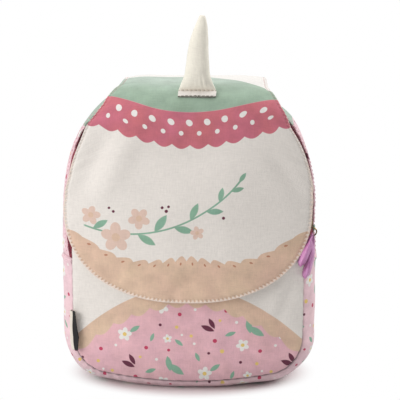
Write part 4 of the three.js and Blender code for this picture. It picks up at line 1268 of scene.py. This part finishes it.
def ribbon(finish):
    """A satin ribbon through the slider's ring: each row of its path carries a wave whose length is the
    ribbon's flat width, so that it is gathered where the row is narrow."""
    rows = smooth_rows(RIBBON_ROWS, RIBBON.rows)
    path, chord = rows[:, :3], rows[:, 3:4]
    across, out = band_frames(path)
    u = np.linspace(-1, 1, RIBBON.columns)[None]
    wave = np.cos(math.pi / 2 * u * lerp(*RIBBON.waves, eased(*RIBBON.wave_widths, chord)))

    def long_enough(swing):
        """Whether a wave of that swing is at least as long as the ribbon is wide."""
        steps = np.hypot(np.diff(u * chord / 2, axis=1), np.diff(swing * wave, axis=1))
        return steps.sum(1, keepdims=True) >= RIBBON.width
    swing = least(long_enough, chord.shape, RIBBON.most_swing)
    run = run_length(path)[:, None]
    facing = lerp(1, -1, eased(*RIBBON.turned, run / run[-1]))
    grid = carried(path, across, u * chord / 2, out, facing * swing * (wave - 0.5))
    sides = [grid + grid_normals(grid) * k * RIBBON.thickness / 2 for k in (1, -1)]
    maps = {"cloth": stacked(u * RIBBON.width / 2, run)}
    return walled("ribbon_satin", *sides, [finish], maps), float(run[-1, 0])


def label(finish):
    """A tape folded double: its path out from the seam is widened to two layers with a round fold, and
    carried up along the seam with a slight wave, furthest open below its middle."""
    path = smooth_rows(LABEL_PATH, LABEL.columns)
    along = unit(np.gradient(path, axis=0))
    side = stacked(-along[:, 1], along[:, 0]) * LABEL.half_thickness
    turn = np.linspace(0, math.pi, LABEL.fold_points)[1:-1, None]
    fold = path[-1] + np.cos(turn) * side[-1] + np.sin(turn) * along[-1] * LABEL.half_thickness
    profile = joined(path + side, fold, (path - side)[::-1])
    run = run_length(path)
    from_seam = joined(run, run[-1] + 0 * fold[:, 0], run[::-1])
    z = np.linspace(LABEL.from_z, LABEL.to_z, LABEL.rows)[:, None]
    seam_x, seam_z = outline(np.linspace(-1, -3, FINE.table), BAG.front_seam_inset)
    wave = waves(z, seed=4, length=LABEL.wave_length, count=3)
    wave = LABEL.wave * wave * eased(0, LABEL.wave_reach, from_seam)
    opened = np.interp(z, (LABEL.from_z, LABEL.widest_z, LABEL.to_z), LABEL.opened)
    right = profile[:, 0] * np.where(profile[:, 0] > 0, opened, 1)
    rings = stacked(np.interp(z, seam_z, seam_x) + right + wave, BAG.front_seam_y + profile[:, 1], z)
    return tube("label_folded", rings, finish, {"cloth": stacked(from_seam, z)})


# Straps, drawn for the right side and mirrored for the left


def strap(hand, side, finish, thread):
    """A padded strap: a pillow section carried along a smooth path, thin at its two sewn edges."""
    rows = [(x, sewn_y(x, z, w, d) if y is None else y, z, w, d) for x, z, y, w, d in STRAP_ROWS]
    rows = smooth_rows(rows, STRAP.rows)
    path, width, depth = rows[:, :3] * (side, 1, 1), rows[:, 3:4], rows[:, 4:5]
    across, out = band_frames(path)
    out = out * np.sign(out[:, 1:2])
    u = np.cos(math.pi * np.linspace(0, 1, STRAP.columns))
    right = joined(u, u[-2:0:-1])[None]
    face = joined(np.ones(STRAP.columns), -np.ones(STRAP.columns - 2))[None]
    edge = (1 - np.abs(right)) * width / 2
    run = run_length(path)[:, None]
    pillow = lerp(STRAP.hem, 1, eased(STRAP.hem_from, STRAP.hem_to, edge))
    rim = np.sqrt(1 - (1 - np.minimum(edge / STRAP.round, 1)) ** 2)
    lumps = ripple(right * width / 2, run, seed=31, length=STRAP.lump_length)
    lumps = 1 + STRAP.lumps * lumps * eased(*STRAP.lumps_from, edge)
    ends = eased(*STRAP.end_reach, run) * eased(*STRAP.end_reach, run[-1] - run)
    gathers = waves(run, seed=17, length=STRAP.gather_length)
    gathers = STRAP.gathers * gathers * bell(edge, STRAP.gather_reach, power=1)
    front = face * depth / 2 * pillow * rim * lumps * lerp(STRAP.ends, 1, ends) + gathers
    rings = carried(path, across, right * width / 2, out, front)
    made = tube(f"strap_padded_{hand}", rings, finish, {"cloth": stacked(right * width / 2, run)})

    start = np.arange(STRAP.first_stitch, run[-1, 0] - STRAP.last_stitch, STITCH.pitch)
    begin, end = [], []
    for way, lift in ((-1, -1), (-1, 1), (1, -1), (1, 1)):
        raised = depth / 2 * STRAP.stitch_share + STRAP.stitch_lift
        line = path + across * way * (width / 2 - STRAP.stitch_in) + out * lift * raised
        columns = np.concatenate([line, out * lift], 1)[:, None]
        begin.append(at_run(columns, run[:, 0], start, 0))
        end.append(at_run(columns, run[:, 0], start + STITCH.length, 0))
    begin, end = joined(*begin), joined(*end)
    stitches = begin[:, :3], end[:, :3], unit(begin[:, 3:])
    return made, threads(f"strap_stitching_{hand}", *stitches, STITCH.radius, thread)


def webbing(hand, side, finish):
    """Webbing from the strap's end to the lower back: a flat rounded section along a path that weaves through
    the adjuster, behind its outer bars and over the middle one."""
    top, upper, lower = np.array([WEBBING.top, WEBBING.upper, WEBBING.lower]) * (side, 1, 1)
    along = unit(lower - upper)
    across = unit(np.array([-along[2], 0, along[0]]))
    out = np.cross(across, along)
    clear = ADJUSTER.thickness / 2 + WEBBING.thickness / 2 + ADJUSTER.clear
    edge = ADJUSTER.bar / 2 + ADJUSTER.slot
    weave = [
        upper + along * (ADJUSTER.from_upper + at) + out * lift for at, lift in (
            (-edge - ADJUSTER.bar, -clear), (-edge, -clear), (-ADJUSTER.bar / 2, clear),
            (ADJUSTER.bar / 2, clear), (edge, -clear), (edge + ADJUSTER.bar, -clear),
        )
    ]
    landing = (WEBBING.lower[0] + WEBBING.end[0]) / 2, (WEBBING.lower[2] + WEBBING.end[1]) / 2
    flat = [(side * x, sewn_y(x, z, WEBBING.width, WEBBING.thickness), z) for x, z in (landing, WEBBING.end)]
    corners = np.array([top, upper, *weave, lower, *flat])
    path = stacked(*(even_steps(column, corners, WEBBING.rows) for column in corners.T))
    for _ in range(WEBBING.softened):
        path[1:-1] = (path[:-2] + 2 * path[1:-1] + path[2:]) / 4
    wide, face = band_frames(path, across)
    _, right, front = ring_of(WEBBING.sides, *WEBBING.powers)
    rings = carried(path, wide, right * WEBBING.width / 2, face, front * WEBBING.thickness / 2)
    run = run_length(path)[:, None]
    maps = {"cloth": stacked(run, right * WEBBING.width / 2)}
    return tube(f"webbing_woven_{hand}", rings, finish, maps), float(run[-1, 0])


def finish_hard(name, finish, bevel):
    """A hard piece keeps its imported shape: its triangles are welded and its edges rounded by modifiers."""
    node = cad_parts[name]
    weld = node.modifiers.new("weld", "WELD")
    weld.merge_threshold = HARD.weld
    round_edges = node.modifiers.new("round_edges", "BEVEL")
    round_edges.width = bevel * MM
    round_edges.segments = HARD.segments
    round_edges.limit_method = "ANGLE"
    round_edges.angle_limit = HARD.angle
    node.data.materials.clear()
    node.data.materials.append(finish.material)


# The pieces put together

plain = Cloth("plain_pink_canvas").canvas(PINK)
pink_tape = tape_finish("pink_webbing", colour(206, 140, 154), pitch=2.2)
pale_plastic = plastic_finish("pale_plastic", colour(228, 206, 206), colour(238, 220, 220))
cream_thread = thread_finish("cream_thread", colour(228, 214, 200))
flap_thread = thread_finish("flap_thread", colour(228, 214, 200), colour(198, 140, 142))
pink_thread = thread_finish("pink_thread", colour(220, 172, 180))
yoked = sprigged_finish("printed_front_canvas", PINK, yoke=True)
sprigged = sprigged_finish("printed_gusset_canvas", PALE_PINK)
two_tone = sprigged_finish("printed_upper_canvas", PALE_PINK, mint_from=258)

lower_half, upper_half = evenly(0, 3 - 1e-6, HALF_SEAM.lower), evenly(3, 6, HALF_SEAM.upper)
lower_t = joined(-lower_half[:0:-1], lower_half)
upper_t = joined(upper_half, -upper_half[-2::-1])

front, front_grid = panel("front_canvas", front_surface, BAG.front_seam_inset, way=1, finish=yoked, seed=1)
back, back_grid = panel("back_canvas", back_surface, BAG.back_seam_inset, way=-1, finish=plain, seed=4)
lower, lower_grid, _ = gusset_band(
    "lower_gusset_canvas", lower_t, start=SEAM_TRIM, count=40, finish=sprigged, seed=11, front_seam=True)
zip_edge = zip_lip(upper_t)[:, None] + GAP / 2
upper, upper_grid, upper_run = gusset_band(
    "upper_gusset_canvas", upper_t, start=zip_edge, count=34, finish=two_tone, seed=15, front_seam=False)
gusset_stitches = stitch_line("gusset_stitching", upper_grid, upper_run, column=4, finish=pink_thread)
crimson_tape = tape_finish("crimson_zip_tape", colour(138, 28, 54), pitch=0.9)
tape, tape_grid, tape_run = zip_tape(upper_t, crimson_tape)
coil = plastic_finish("crimson_coil", colour(110, 30, 48), colour(92, 20, 38))
teeth = zip_teeth(tape_grid, tape_run, coil)
lining = Cloth("flap_lining").canvas(colour(228, 220, 212))
flap_piece, flap_grid, flap_run = flap(flap_finish(), lining)
flap_stitches = stitch_line("flap_stitching", flap_grid, flap_run, column=5, finish=flap_thread)
back_rows = np.stack([joined(flap_grid[k], flap_grid[-1 - k, -2::-1]) for k in (2, 3, 4)], 1)
back_run = run_length(back_rows[:, 1])
back_stitches = stitch_line("flap_back_stitching", back_rows, back_run, column=1, finish=cream_thread)
horn_piece, horn_stitches = horn(cream_thread)
ribbon_piece, ribbon_length = ribbon(satin_finish())
label_piece = label(label_finish())

for made, node, slot in (
    (front, "front_panel", "pink_canvas"), (back, "back_panel", "pink_canvas"),
    (lower, "lower_gusset", "pink_canvas"), (upper, "upper_gusset", "pink_canvas"),
    (tape, "zip_tape", "zip_tape"), (flap_piece, "flap", "cream_canvas"), (horn_piece, "horn", "horn_canvas"),
    (ribbon_piece, "ribbon_pull", "purple_satin"), (label_piece, "seam_label", "label"),
):
    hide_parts(node)

for hand, side in (("left", -1), ("right", 1)):
    strap_piece, strap_stitches = strap(hand, side, plain, pink_thread)
    webbing_piece, webbing_length = webbing(hand, side, pink_tape)
    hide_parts(f"strap_{hand}")
    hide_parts(f"webbing_{hand}")
    webbing_length * MM
    finish_hard(f"adjuster_{hand}", pale_plastic, bevel=0.5)
finish_hard("zip_slider", metal_finish(), bevel=0.25)

for made, flat, rests_on, grid in (
    (front, (0.25, 0.30), [lower, upper], front_grid), (back, (0.242, 0.296), [lower, upper], back_grid),
    (lower, (0.125, 0.47), [front, back], lower_grid), (upper, (0.105, 0.53), [tape, back], upper_grid),
):
    area_of(grid)
area_of(flap_grid)
ribbon_length * MM

# Floor, light and camera

# The floor's pink tint is painted light: it stands for light bounced from the pink bag onto the floor
FLOOR = Sizes(
    radius=1400, rings=24, sides=64, tint=(0.92, 0.85, 0.85, 1), glow=(0.8, 1.0), blur=0.16,
    shade=(0.112, 0.076),  # half sizes in metres
)
BRIGHT = (1, 1, 1, 1)


def floor():
    """A pale disc that fades into the white of the room past an ellipse round the bag's base."""
    # the pink tint is painted bounce light from the bag
    finish = Finish("pale_floor", Base_Color=FLOOR.tint, Roughness=0.9)
    reach = finish.length(finish.about(finish.solid(), 0, 0, FLOOR.shade))
    glow = finish.node("Emission", {"Color": BRIGHT, "Strength": finish.between(finish.seen(), *FLOOR.glow)})
    shaded = Value(finish, finish.shader.outputs[0])
    mixed = finish.node("MixShader", {0: finish.past(reach, 1, FLOOR.blur), 1: shaded, 2: glow})
    finish.set(finish.tree.nodes["Material Output"], {"Surface": mixed})
    angle = math.tau * np.arange(FLOOR.sides) / FLOOR.sides
    radius = np.linspace(0, FLOOR.radius, FLOOR.rings)[:, None]
    points = stacked(radius * np.cos(angle), radius * np.sin(angle), 0.0)
    mesh = new_mesh("floor", points, grid_faces(FLOOR.rings, FLOOR.sides, ring=True))
    mesh.materials.append(finish.material)
    placed("floor", mesh)


def aimed(made, place, aim):
    """An object set at a place in millimetres, facing a point."""
    made.location = Vector(place) * MM
    made.rotation_euler = (Vector(aim) - Vector(place)).to_track_quat("-Z", "Y").to_euler()
    return made


def lamp(name, place, aim, size, power):
    """A square soft box that faces a point."""
    light = bpy.data.lights.new(name, "AREA")
    light.size, light.energy = size * MM, power
    aimed(placed(name, light), place, aim)


def room(strength):
    """Even light from all round, seen as plain white behind the bag."""
    world = bpy.data.worlds.new("room")
    bpy.context.scene.world = world
    world.use_nodes = True
    nodes = Nodes(world.node_tree)
    around = nodes.node("Background", {"Color": BRIGHT, "Strength": strength})
    behind = nodes.node("Background", {"Color": BRIGHT})
    mixed = nodes.node("MixShader", {0: nodes.seen(), 1: around, 2: behind})
    nodes.set(nodes.tree.nodes["World Output"], {"Surface": mixed})


def camera(azimuth, elevation, target, distance, lens, right, up):
    """A long lens at the photograph's angle, aimed a little beside and above the middle of the bag."""
    az, el = math.radians(azimuth), math.radians(elevation)
    back = Vector((math.sin(az) * math.cos(el), -math.cos(az) * math.cos(el), math.sin(el)))
    side = Vector((math.cos(az), math.sin(az), 0))
    view = bpy.data.cameras.new("camera")
    view.lens, view.sensor_width, view.clip_end = lens, 36, 20
    target = Vector(target)
    aim = target + side * right + back.cross(side) * up
    bpy.context.scene.camera = aimed(placed("camera", view), target + back * distance, aim)


floor()
room(strength=0.37)
lamp("key", place=(-1450, -880, 720), aim=(0, -20, 150), size=1000, power=16.4)
lamp("overhead", place=(0, -100, 1500), aim=(0, 0, 100), size=1500, power=10)
lamp("rim", place=(1000, 500, 900), aim=(0, 0, 250), size=700, power=8)
camera(azimuth=2.5, elevation=14, target=(0, -20, 150), distance=1500, lens=136.6, right=10.9, up=31.6)
bpy.context.scene.view_settings.view_transform = "Standard"
